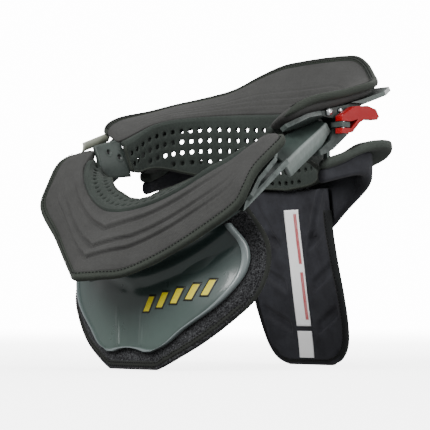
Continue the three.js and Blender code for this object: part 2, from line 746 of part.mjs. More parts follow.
// Tables and liners
add("front_table_pad", onTable(FRONT, padSection(FRONT, 3)), DARK_FOAM);
add("front_table_hem", onTable(FRONT, hemSection), HEM_FABRIC);
add("rear_table_pad", onTable(REAR, padSection(REAR, 3)), DARK_FOAM);
add("rear_table_hem", onTable(REAR, hemSection), HEM_FABRIC);
const frontLiner = onTable(FRONT, linerSection(FRONT), FRONT_LINER_EXTENT);
add("front_liner", cut(frontLiner, linerHoles(FRONT)), LINER_FOAM);
add("rear_liner", cut(onTable(REAR, linerSection(REAR)), linerHoles(REAR)), LINER_FOAM);

// Front frame with its two arms; the right arm ends in the hinge's eye
const leftArm = railPlate(
  [[ARM_OUTER, ARM_START], [LINK_OUTER, ARM_END], [ARM_INNER, ARM_END], [ARM_INNER, ARM_START]],
  -ARM_THICKNESS,
  0,
);
const armTop = -HINGE_DROP - RUNNING_GAP;
const rightArm = railPlate(
  withEye({ way: 1, rest: [[-ARM_OUTER, ARM_START], [-ARM_INNER, ARM_START]] }, EYE_RADIUS),
  armTop - ARM_THICKNESS,
  armTop,
);
// Tabs that come down from the frame and hold the chest plate's top
const tabs = [-1, 1].map((side) => {
  const place = (s, t) => ({
    x: side * TAB_X + (s * TAB_WIDTH) / 2,
    z: THREE.MathUtils.lerp(TAB_BOTTOM, TAB_TOP, t),
  });
  const back = -SHELL_THICKNESS - 1 - SEAT_GAP;
  return panel(chestSurface, place, () => back - TAB_THICKNESS, () => back, evenly(4), 4);
});
const frontWalls = join([onTable(FRONT, frameSection), leftArm, rightArm, ...tabs]);
add("front_frame", cut(frontWalls, [frontSeat, pinBore(RUNNING_GAP)]), GREENISH_PLASTIC);

// Link from the left arm to the rear bracket, with a skirt down its outer side and a toothed end
const linkTop = -LINK_DROP;
const teeth = [];
const linkPlate = [[LINK_OUTER, ARM_END + RUNNING_GAP], [LINK_OUTER, LINK_END]];
for (let i = 0; i < 3; i += 1) {
  const x = LINK_OUTER - 1 - 2 * TOOTH * i;
  linkPlate.push([x - TOOTH / 2, LINK_END - TOOTH], [x - TOOTH, LINK_END]);
}
linkPlate.push([LINK_INNER + 4, LINK_END - 3], [LINK_INNER, LINK_END - 18], [LINK_INNER, ARM_END + RUNNING_GAP]);
const skirt = [
  [LINK_OUTER, ARM_END + RUNNING_GAP],
  [LINK_OUTER, LINK_END - 6],
  [LINK_OUTER - 3, LINK_END - 6],
  [LINK_OUTER - 3, ARM_END + RUNNING_GAP],
];
add(
  "latch_link",
  join([
    railPlate(linkPlate, linkTop - LINK_THICKNESS, linkTop),
    railPlate(skirt, linkTop - LINK_SKIRT, linkTop - 1),
  ]),
  GREY_PLASTIC,
);

// Hinge link on the right with a cheek that faces the neck, fixed under the rear bracket
const hingeLink = withEye(
  { way: -1, rest: [[-ARM_OUTER - 4, 20], [-ARM_OUTER, 44], [-LINK_INNER - 3, 44], [-LINK_INNER - 1, 20]] },
  EYE_RADIUS,
);
const cheek = [[-LINK_INNER - 4, -11], [-LINK_INNER - 1, -11], [-LINK_INNER - 1, 20], [-LINK_INNER - 4, 20]];
const cheekHole = (a) => {
  const hole = new THREE.CylinderGeometry(CHEEK_HOLE_RADIUS, CHEEK_HOLE_RADIUS, 12, 10).rotateZ(Math.PI / 2);
  return hole.translate(-LINK_INNER - 2, a, 3.5).applyMatrix4(railFrame);
};
const hingePlate = join([railPlate(hingeLink, -HINGE_DROP, 0), railPlate(cheek, -8, 8)]);
const hingeCuts = [pinBore(SEAT_GAP), cheekHole(-6), cheekHole(5), rearSeat];
add("hinge_link", cut(hingePlate, hingeCuts), GREENISH_PLASTIC);
const pinFoot = v3(PIN_X, RAIL_Y, RAIL_Z).addScaledVector(railAlong, PIN_ALONG);
add(
  "hinge_pin",
  turned(
    [[0, armTop - ARM_THICKNESS - 2], [PIN_RADIUS, armTop - ARM_THICKNESS - 2], [PIN_RADIUS, SEAT_GAP],
      [PIN_RADIUS + 1.8, SEAT_GAP], [PIN_RADIUS + 1.4, 2], [0, 2.2]],
    railUp,
    pinFoot,
  ),
  CHROME,
);

// Rear frame with the brackets at both sides and the spine down to the back pad
const lug = box([BRACKET_OUTER - 2, LEVER_X + LEVER_WIDTH / 2], [LEVER_PIN_Y - 4.5, LEVER_PIN_Y + 4.5],
  [LUG_BOTTOM, LUG_TOP]);
const leverBore = new THREE.CylinderGeometry(LEVER_PIN_RADIUS + SEAT_GAP, LEVER_PIN_RADIUS + SEAT_GAP, 30, 12)
  .rotateX(Math.PI / 2).translate(LEVER_X, LEVER_PIN_Y, LUG_TOP);
const spineFront = (z) => strutSurface(0, z) + STRUT_THICKNESS / 2 + SEAT_GAP;
const spineOutline = [[spineFront(SPINE_BOTTOM), SPINE_BOTTOM], [spineFront(60), 60], [spineFront(90), 90],
  [spineFront(118) + 0.6, 118], [SPINE_TOP_REACH, 140], [SPINE_TOP_REACH, SPINE_TOP]];
const spineBack = spineOutline.map(([y, z]) => [y + SPINE_THICKNESS, z]).reverse();
const rearWalls = [
  onTable(REAR, rearFrameSection),
  sideBlock(BRACKET_OUTLINE, BRACKET_INNER, BRACKET_OUTER),
  sideBlock(BRACKET_OUTLINE, -BRACKET_OUTER, -BRACKET_INNER),
  lug,
  sideBlock([...spineOutline, ...spineBack], -SPINE_HALF_WIDTH, SPINE_HALF_WIDTH),
];
const hingeSeat = railPlate(
  [[-130, -40], [-80, -40], [-80, 44 + SEAT_GAP], [-130, 44 + SEAT_GAP]],
  -HINGE_DROP - SEAT_GAP,
  SEAT_GAP,
);
// Room for the rivets' heads and the lever beside the left bracket
const leverRoom = box([BRACKET_OUTER, REAR_HALF_WIDTH + 12], [18, 62], [LUG_TOP + SEAT_GAP, 202.5]);
add("rear_frame", cut(join(rearWalls), [rearSeat, leverBore, hingeSeat, leverRoom]), GREENISH_PLASTIC);
const face = BRACKET_OUTER + SEAT_GAP;
add("rivet_large", turned(dome(RIVET_RADIUS), v3(1, 0, 0), v3(face, 26.5, 194)), CHROME);
add("rivet_small", turned(dome(SMALL_RIVET_RADIUS), v3(1, 0, 0), v3(face, 39, 196)), CHROME);

// Lever and its pin
const leverSide = sideBlock(LEVER_OUTLINE, LEVER_X - LEVER_WIDTH / 2, LEVER_X + LEVER_WIDTH / 2);
const pinHole = new THREE.CylinderGeometry(LEVER_PIN_RADIUS + RUNNING_GAP, LEVER_PIN_RADIUS + RUNNING_GAP, 40, 12)
  .rotateX(Math.PI / 2).translate(LEVER_X, LEVER_PIN_Y, LUG_TOP);
add("release_lever", cut(leverSide, [pinHole]), RED_PLASTIC);
add(
  "lever_pin",
  turned([[0, 178.4], [LEVER_PIN_RADIUS, 178.4], [LEVER_PIN_RADIUS, 191], [0, 191]], v3(0, 0, 1),
    v3(LEVER_X, LEVER_PIN_Y, 0), 12),
  CHROME,
);

// Chest plate with its raised rim, the marks on it and the felt pad behind it
const shellAcross = [-1, -0.95, -0.9, -0.75, -0.5, -0.25, 0, 0.25, 0.5, 0.75, 0.9, 0.95, 1];
const rim = (s, t) => (Math.abs(s) > 0.92 || t < 0.08 ? SHELL_RIM : 0);
const shellFront = (s, t) => -SHELL_THICKNESS - 1 - rim(s, t);
add("chest_plate", panel(chestSurface, shellPlace, shellFront, () => -1, shellAcross, 12), GREENISH_PLASTIC);
for (let i = 0; i < MARK_COUNT; i += 1) {
  const place = (s, t) => ({
    x: MARK_FIRST_X + i * MARK_SPACING + (s * MARK_WIDTH) / 2 + (t - 0.5) * 6,
    z: MARK_FIRST_Z + i * MARK_RISE + (t - 0.5) * MARK_HEIGHT,
  });
  const back = -SHELL_THICKNESS - 1 - SEAT_GAP;
  const mark = panel(chestSurface, place, () => back - MARK_THICKNESS, () => back, evenly(2), 2);
  add("chest_mark_" + (i + 1), mark, YELLOW_INK);
}
const padPlace = rowPlace(CHEST_PAD_ROWS, CHEST_PAD_HALF_WIDTH, 0, CHEST_PAD_HEIGHT, CHEST_PAD_LIFT);
const padBack = rounded(CHEST_PAD_THICKNESS);
add("chest_pad", panel(chestSurface, padPlace, () => 0, padBack, evenly(12), 12), BLACK_FELT);

// Back pad, the rim on top of its wings and the patches on its strut
const strutPlace = rowPlace(STRUT_ROWS, STRUT_HALF_WIDTH, 0, STRUT_HEIGHT, 0);
const strutHalf = rounded(STRUT_THICKNESS / 2);
const strut = panel(strutSurface, strutPlace, (s, t) => -strutHalf(s, t), () => STRUT_THICKNESS / 2, evenly(8), 12);
add("back_pad", join([strut, onWings(wingSection, 12)]), BLACK_FOAM);
add("wing_rim", onWings(rimSection, 12), HEM_FABRIC);
const patchFront = -STRUT_THICKNESS / 2 - SEAT_GAP;
for (const [name, [from, to], rows] of [["long_patch", LONG_PATCH, 8], ["short_patch", SHORT_PATCH, 3]]) {
  const place = (s, t) => ({ x: s * PATCH_HALF_WIDTH, z: THREE.MathUtils.lerp(from, to, t) });
  const patch = panel(strutSurface, place, () => patchFront - PATCH_THICKNESS, () => patchFront, evenly(2), rows);
  add(name, patch, WHITE_TAPE);
}

// The group stands on the ground with the middle of its box over the origin.
const bounds = new THREE.Box3().setFromObject(brace);
const middle = bounds.getCenter(v3());
brace.position.set(-middle.x, -middle.y, -bounds.min.z);

export default brace;
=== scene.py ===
import math

import bmesh
import bpy
import numpy as np
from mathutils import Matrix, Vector


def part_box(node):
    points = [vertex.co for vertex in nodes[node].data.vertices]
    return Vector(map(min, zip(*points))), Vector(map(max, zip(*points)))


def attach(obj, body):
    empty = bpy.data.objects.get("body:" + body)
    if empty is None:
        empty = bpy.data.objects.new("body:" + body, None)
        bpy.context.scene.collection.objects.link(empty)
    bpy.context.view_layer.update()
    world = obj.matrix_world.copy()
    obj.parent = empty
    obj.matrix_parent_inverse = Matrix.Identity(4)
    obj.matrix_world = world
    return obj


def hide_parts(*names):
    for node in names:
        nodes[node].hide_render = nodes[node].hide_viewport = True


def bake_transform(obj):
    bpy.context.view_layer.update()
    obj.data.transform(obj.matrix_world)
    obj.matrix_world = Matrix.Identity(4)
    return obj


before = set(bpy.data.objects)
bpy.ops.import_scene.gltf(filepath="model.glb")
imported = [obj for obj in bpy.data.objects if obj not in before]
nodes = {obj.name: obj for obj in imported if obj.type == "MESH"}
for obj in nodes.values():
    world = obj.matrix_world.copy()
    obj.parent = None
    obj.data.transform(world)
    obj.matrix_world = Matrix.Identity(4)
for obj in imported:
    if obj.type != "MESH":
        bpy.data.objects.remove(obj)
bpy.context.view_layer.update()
MM = 0.001
SHIFT_Y = -5.57  # the tables below have the neck's centre at y = 0


def sections(columns, *lines):
    """A table: one dictionary a line, its numbers under the named columns."""
    return [dict(zip(columns.split(), line)) for line in lines]


# Sizes shared with the frame
FRONT_EDGES = sections(
    "at inX inY inZ outX outY outZ rib",
    (0.0, 0.0, 1.0, 0.464, 0.0, 1.0, 0.0, 1), (0.12, 0.177, 0.983, 0.477, 0.11, 0.936, 0.005, 1),
    (0.25, 0.344, 0.926, 0.514, 0.236, 0.841, 0.02, 1),
    (0.4, 0.542, 0.841, 0.591, 0.449, 0.727, 0.136, 0.8),
    (0.55, 0.708, 0.75, 0.682, 0.677, 0.621, 0.3, 0.5),
    (0.68, 0.813, 0.67, 0.745, 0.882, 0.553, 0.464, 0.2),
    (0.76, 0.885, 0.602, 0.791, 0.929, 0.538, 0.564, 0),
    (0.85, 0.948, 0.523, 0.855, 0.945, 0.47, 0.709, 0),
    (0.93, 0.99, 0.42, 0.918, 1.0, 0.356, 0.864, 0),
    (0.97, 1.0, 0.375, 0.945, 0.99, 0.282, 0.93, 0), (1.0, 1.01, 0.34, 0.964, 0.9, 0.218, 0.975, 0),
)
REAR_EDGES = sections(
    "at inX inY inZ outX outY outZ rib",
    (0.0, 0.0, 1.0, 0.347, 0.0, 1.0, 1.0, 1), (0.12, 0.2, 0.99, 0.353, 0.195, 0.996, 0.993, 1),
    (0.25, 0.4, 0.958, 0.365, 0.372, 0.96, 0.96, 1),
    (0.38, 0.588, 0.874, 0.369, 0.54, 0.894, 0.853, 1),
    (0.5, 0.753, 0.747, 0.36, 0.708, 0.799, 0.7, 0.9),
    (0.6, 0.859, 0.6, 0.339, 0.885, 0.657, 0.6, 0.7),
    (0.7, 0.941, 0.411, 0.301, 0.982, 0.526, 0.533, 0.5),
    (0.8, 0.982, 0.2, 0.227, 1.0, 0.307, 0.427, 0.2),
    (0.9, 0.994, 0.0, 0.107, 0.987, 0.058, 0.333, 0),
    (0.96, 1.0, -0.09, 0.053, 0.97, -0.06, 0.24, 0),
    (1.0, 1.015, -0.16, 0.02, 0.93, -0.105, 0.16, 0),
)
FRONT = dict(edges=FRONT_EDGES, inner=(96, -88), outer=(127, -132), base=69, rise=110)
REAR = dict(edges=REAR_EDGES, inner=(85, 95), outer=(113, 137), base=181, rise=75)
FRONT_HANG = sections(
    "at liner lip turn",
    (0, 1.0, 0.4, 27), (0.35, 1.0, 0.45, 40), (0.6, 1.0, 0.7, 64), (1, 0.95, 1.0, 100),
)
REAR_HANG = sections(
    "at liner lip",
    (0, 1.0, 1.0), (0.3, 0.95, 1.0), (0.6, 0.78, 1.0), (0.85, 0.5, 1.0), (1, 0.36, 1.0),
)
CHEST_SURFACE = sections(
    "at middle wrap",
    (0.0, 0.0, 0.3), (0.17, 0.03, 0.32), (0.32, 0.07, 0.33), (0.47, 0.1, 0.35), (0.62, 0.12, 0.4),
    (0.75, 0.1, 0.44), (0.87, 0.02, 0.5), (1.0, -0.06, 0.56),
)
SHELL_ROWS = sections(
    "at half lift",
    (0.0, 0.25, 0), (0.065, 0.39, 0), (0.195, 0.54, 0), (0.39, 0.79, 0), (0.57, 0.94, 0.05),
    (0.72, 1.0, 0.25), (0.85, 0.99, 0.6), (1.0, 0.89, 1),
)
CHEST_PAD_ROWS = sections(
    "at half lift",
    (0.0, 0.24, 0), (0.06, 0.36, 0), (0.21, 0.61, 0), (0.4, 0.83, 0), (0.55, 0.96, 0.05),
    (0.7, 1.0, 0.25), (0.85, 0.98, 0.6), (1.0, 0.87, 1),
)
STRUT_ROWS = sections(
    "at half lean wrap",
    (0.0, 0.46, 1.0, 0), (0.03, 0.7, 0.98, 0), (0.1, 0.88, 0.93, 0.1), (0.22, 0.98, 0.8, 0.3),
    (0.4, 1.03, 0.58, 0.6), (0.58, 1.0, 0.38, 0.8), (0.75, 0.98, 0.18, 0.9), (0.9, 1.0, 0.03, 1),
    (1.0, 0.96, 0.0, 1),
)
WING_ROWS = sections(
    "at x y low high over",
    (0.0, 0.0, 1.0, 0.62, 0.87, 0.3), (0.15, 0.28, 0.97, 0.63, 0.88, 0.35),
    (0.3, 0.56, 0.92, 0.74, 0.91, 0.5), (0.45, 0.8, 0.86, 0.83, 0.96, 0.85),
    (0.58, 0.95, 0.73, 0.88, 1.0, 1), (0.7, 1.0, 0.58, 0.89, 0.99, 0.7),
    (0.85, 0.98, 0.42, 0.87, 0.94, 0.3), (1.0, 0.94, 0.24, 0.84, 0.9, 0.1),
)
PAD_DEPTH, PAD_END_DEPTH, HEM_WIDTH, HEM_THICKNESS = 10, 6, 7, 6
LINER_THICKNESS, LIP_REACH, LIP_DROP, LINER_LEAN = 4, 8, 2.5, 0.28
HOLE_SPACING, HOLE_PITCH, HOLE_RADIUS = 8.0, 8.8, 1.85


# Curves through the tables
def along(rows, column, at):
    i = 0
    while i < len(rows) - 2 and at > rows[i + 1]["at"]:
        i += 1

    def slope(k):
        a, b = rows[max(0, k - 1)], rows[min(len(rows) - 1, k + 1)]
        return (b[column] - a[column]) / (b["at"] - a["at"])

    p, q = rows[i], rows[i + 1]
    span = q["at"] - p["at"]
    t = min(1.0, max(0.0, (at - p["at"]) / span))
    t2, t3 = t * t, t * t * t
    return ((2 * t3 - 3 * t2 + 1) * p[column] + (t3 - 2 * t2 + t) * span * slope(i)
            + (3 * t2 - 2 * t3) * q[column] + (t3 - t2) * span * slope(i + 1))


def unit(v):
    return v / (np.linalg.norm(v) + 1e-12)


def lerp(a, b, t):
    return a + (b - a) * t


def smoothstep(lo, hi, x):
    t = np.clip((x - lo) / (hi - lo), 0, 1)
    return t * t * (3 - 2 * t)


def ease(lo, hi, x):
    return float(smoothstep(lo, hi, x))


def bell(x, width):
    return math.exp(-((x / width) ** 2))


class Station:
    """One place along a table: its inner edge, the way across it and the way up from it."""

    def __init__(self, table, at):
        def edge(where):
            a, s = min(1.0, abs(where)), math.copysign(1, where)
            rows = table["edges"]
            ends = []
            for end, (half, reach) in (("in", table["inner"]), ("out", table["outer"])):
                ends.append(np.array([
                    s * along(rows, end + "X", a) * half,
                    along(rows, end + "Y", a) * reach,
                    table["base"] + along(rows, end + "Z", a) * table["rise"],
                ]))
            return ends

        inner, outer = edge(at)
        after, before = edge(min(1, at + 0.02)), edge(max(-1, at - 0.02))
        tangent = (after[0] + after[1] - before[0] - before[1]) / 2
        self.at, self.a = at, abs(at)
        self.inner = inner
        self.width = np.linalg.norm(outer - inner)
        self.across = unit(outer - inner)
        up = unit(np.cross(tangent, self.across))
        self.up = -up if up[2] < 0 else up
        self.rib = along(table["edges"], "rib", self.a)
        self.hem = min(HEM_WIDTH, self.width * 0.35)
        self.depth = PAD_DEPTH + (PAD_END_DEPTH - PAD_DEPTH) * max(0, 5 * self.a - 4) ** 2

    def point(self, u, h):
        return self.inner + self.across * u + self.up * h


# Meshes
def new_object(name, verts, faces, uvs=None, attributes=None):
    """verts in millimetres round the neck's centre. uvs are per vertex, in millimetres."""
    verts = np.asarray(verts, float).copy()
    verts[:, 1] += SHIFT_Y
    mesh = bpy.data.meshes.new(name)
    mesh.from_pydata((verts * MM).tolist(), [], [tuple(int(i) for i in f) for f in faces])
    mesh.validate()
    if uvs is not None:
        layer = mesh.uv_layers.new(name="UVMap")
        index = np.empty(len(mesh.loops), np.int32)
        mesh.loops.foreach_get("vertex_index", index)
        layer.data.foreach_set("uv", (np.asarray(uvs, float)[index] * MM).astype(np.float32).ravel())
    for key, values in (attributes or {}).items():
        mesh.attributes.new(key, "FLOAT", "POINT").data.foreach_set("value", np.asarray(values, np.float32))
    mesh.polygons.foreach_set("use_smooth", [True] * len(mesh.polygons))
    mesh.update()
    obj = bpy.data.objects.new(name, mesh)
    bpy.context.scene.collection.objects.link(obj)
    face_out(obj)
    return obj


def keep_above(obj, height):
    """Flattens what would sink below a height, in metres, as the foot on the ground does."""
    points = read_points(obj)
    points[:, 2] = np.maximum(points[:, 2], height)
    write_points(obj, points)


def face_out(obj):
    bm = bmesh.new()
    bm.from_mesh(obj.data)
    bmesh.ops.recalc_face_normals(bm, faces=bm.faces)
    bm.to_mesh(obj.data)
    bm.free()
    obj.data.update()


def read_points(obj):
    co = np.empty(len(obj.data.vertices) * 3, np.float32)
    obj.data.vertices.foreach_get("co", co)
    return co.reshape(-1, 3).astype(float)


def write_points(obj, points):
    obj.data.vertices.foreach_set("co", np.asarray(points, np.float32).ravel())
    obj.data.update()


def read_normals(obj):
    no = np.empty(len(obj.data.vertices) * 3, np.float32)
    obj.data.vertex_normals.foreach_get("vector", no)
    return no.reshape(-1, 3).astype(float)


def read_attribute(obj, name):
    out = np.empty(len(obj.data.vertices), np.float32)
    obj.data.attributes[name].data.foreach_get("value", out)
    return out


def distances(line):
    steps = np.linalg.norm(np.diff(line, axis=0), axis=1)
    return np.concatenate([[0], np.cumsum(steps)])


def swept(name, rings, attributes=None):
    """A capped tube through closed rings, with UVs round it and along it in millimetres."""
    rings = np.asarray(rings, float)
    n, m, _ = rings.shape
    verts = rings.reshape(-1, 3)
    faces = []
    for r in range(n - 1):
        for i in range(m):
            j = (i + 1) % m
            faces.append((r * m + i, r * m + j, (r + 1) * m + j, (r + 1) * m + i))
    round_it = np.array([distances(ring) for ring in rings])
    along_it = distances(rings.mean(axis=1))
    uvs = np.stack([round_it, np.repeat(along_it[:, None], m, 1)], -1).reshape(-1, 2)
    values = {k: np.asarray(v, float).reshape(-1) for k, v in (attributes or {}).items()}
    for r, flip in ((0, True), (n - 1, False)):
        centre = len(verts)
        verts = np.vstack([verts, rings[r].mean(axis=0)])
        uvs = np.vstack([uvs, uvs[r * m:(r + 1) * m].mean(axis=0)])
        for k in values:
            values[k] = np.append(values[k], values[k][r * m:(r + 1) * m].mean())
        for i in range(m):
            j = (i + 1) % m
            pair = (r * m + j, r * m + i) if flip else (r * m + i, r * m + j)
            faces.append((centre, *pair))
    return new_object(name, verts, faces, uvs, values)


def slab(name, front, back, attributes=None):
    """A closed sheet with thickness between two grids of points; UVs from the front grid."""
    front, back = np.asarray(front, float), np.asarray(back, float)
    n, m, _ = front.shape
    verts = np.vstack([front.reshape(-1, 3), back.reshape(-1, 3)])
    half = n * m
    faces = []
    for r in range(n - 1):
        for i in range(m - 1):
            a = r * m + i
            faces.append((a, a + 1, a + m + 1, a + m))
            faces.append((half + a, half + a + m, half + a + m + 1, half + a + 1))
    edge = [i for i in range(m)] + [r * m + m - 1 for r in range(1, n)]
    edge += [(n - 1) * m + i for i in range(m - 2, -1, -1)] + [r * m for r in range(n - 2, 0, -1)]
    for k in range(len(edge)):
        a, b = edge[k], edge[(k + 1) % len(edge)]
        faces.append((a, half + a, half + b, b))
    u = np.array([distances(row) - distances(row)[-1] / 2 for row in front])
    v = np.repeat(distances(front[:, m // 2])[:, None], m, 1)
    uv = np.stack([u, v], -1).reshape(-1, 2)
    values = {k: np.concatenate([np.ravel(x), np.ravel(x)]) for k, x in (attributes or {}).items()}
    return new_object(name, verts, faces, np.vstack([uv, uv]), values)


def frames_along(line, up_hint):
    """Tangent, side and up at each point of a line; up_hint is an array or one vector."""
    line = np.asarray(line, float)
    tangents = np.gradient(line, axis=0)
    hints = np.broadcast_to(np.asarray(up_hint, float), line.shape)
    out = []
    for t, h in zip(tangents, hints):
        t = unit(t)
        side = unit(np.cross(t, h))
        out.append((t, side, np.cross(side, t)))
    return out


TUBE_SIDES, TUBE_POWER = 10, 0.8
BACKWARD = np.array([0, 1.0, 0])


def oval_tube(name, line, up_hint, width, height):
    """A tube along a line with a rounded, slightly squared section."""
    rings = []
    for point, (_, side, up) in zip(line, frames_along(line, up_hint)):
        ring = []
        for i in range(TUBE_SIDES):
            turn = 2 * math.pi * i / TUBE_SIDES
            c, s = math.cos(turn), math.sin(turn)
            c, s = (math.copysign(abs(part) ** TUBE_POWER, part) for part in (c, s))
            ring.append(point + side * c * width / 2 + up * s * height / 2)
        rings.append(ring)
    return swept(name, rings)


def resample(line, step, hints=None):
    line = np.asarray(line, float)
    d = distances(line)
    count = max(2, int(round(d[-1] / step)))
    where = np.linspace(0, d[-1], count + 1)
    points = np.stack([np.interp(where, d, line[:, k]) for k in range(3)], -1)
    if hints is None:
        return points
    hints = np.broadcast_to(np.asarray(hints, float), line.shape)
    return points, np.stack([np.interp(where, d, hints[:, k]) for k in range(3)], -1)


def stitches(name, line, ups, pitch=2.7, length=1.8, width=1.15, height=0.6):
    """A row of short threads lying on a line; one joined mesh of small rounded dashes."""
    points, hints = resample(line, pitch, ups)
    verts, faces = [], []
    section = [(-1, 0), (-0.6, 0.8), (0.6, 0.8), (1, 0)]
    for point, (t, side, up) in zip(points[:-1], frames_along(points, hints)[:-1]):
        base = len(verts)
        for along_it, scale in ((-0.5, 0.45), (-0.3, 1), (0.3, 1), (0.5, 0.45)):
            for c, h in section:
                rise = up * (h * scale * height - 0.1)
                verts.append(point + t * along_it * length + side * c * scale * width / 2 + rise)
        for r in range(3):
            for i in range(3):
                a = base + r * 4 + i
                faces.append((a, a + 1, a + 5, a + 4))
            faces.append((base + r * 4 + 3, base + r * 4, base + r * 4 + 4, base + r * 4 + 7))
        faces.append((base + 3, base + 2, base + 1, base))
        faces.append((base + 12, base + 13, base + 14, base + 15))
    return new_object(name, verts, faces)


def subdivide(obj, levels):
    modifier = obj.modifiers.new("finer", "SUBSURF")
    modifier.levels = modifier.render_levels = levels
    modifier.subdivision_type = "CATMULL_CLARK"
    apply_all(obj)


def apply_all(obj):
    graph = bpy.context.evaluated_depsgraph_get()
    graph.update()
    made = obj.evaluated_get(graph)
    mesh = bpy.data.meshes.new_from_object(made, preserve_all_data_layers=True, depsgraph=graph)
    obj.modifiers.clear()
    obj.data = mesh


CLOTH_FRAMES, CLOTH_PRESSURE, CLOTH_STRETCH, CLOTH_SHEAR, CLOTH_BENDING = 20, 4.0, 12, 6, 2.0


def puff(obj, pins, cap):
    """Blows fabric up a little over its foam with Cloth, the pinned points held, and keeps the result."""
    scene = bpy.context.scene
    before = read_points(obj)
    group = obj.vertex_groups.new(name="held")
    for weight in (1.0, 0.5):
        chosen = [int(i) for i in np.nonzero(np.isclose(pins, weight))[0]]
        if chosen:
            group.add(chosen, weight, "REPLACE")
    cloth = obj.modifiers.new("cloth", "CLOTH")
    cloth.settings.vertex_group_mass = "held"
    cloth.settings.quality = 5
    cloth.settings.use_pressure = True
    cloth.settings.uniform_pressure_force = CLOTH_PRESSURE
    cloth.settings.tension_stiffness = CLOTH_STRETCH
    cloth.settings.compression_stiffness = CLOTH_STRETCH
    cloth.settings.shear_stiffness = CLOTH_SHEAR
    cloth.settings.bending_stiffness = CLOTH_BENDING
    cloth.settings.effector_weights.gravity = 0
    cloth.collision_settings.use_collision = False
    cloth.point_cache.frame_start = 1
    cloth.point_cache.frame_end = CLOTH_FRAMES
    for number in range(1, CLOTH_FRAMES + 1):
        scene.frame_set(number)
    graph = bpy.context.evaluated_depsgraph_get()
    puffed = obj.evaluated_get(graph).to_mesh()
    co = np.empty(len(puffed.vertices) * 3, np.float32)
    puffed.vertices.foreach_get("co", co)
    obj.evaluated_get(graph).to_mesh_clear()
    obj.modifiers.clear()
    obj.vertex_groups.clear()
    scene.frame_set(1)
    move = co.reshape(-1, 3).astype(float) - before
    size = np.linalg.norm(move, axis=1, keepdims=True)
    limit = cap * MM
    move *= np.where(size > 1e-9, limit * np.tanh(size / limit) / np.maximum(size, 1e-9), 1)
    write_points(obj, before + move)


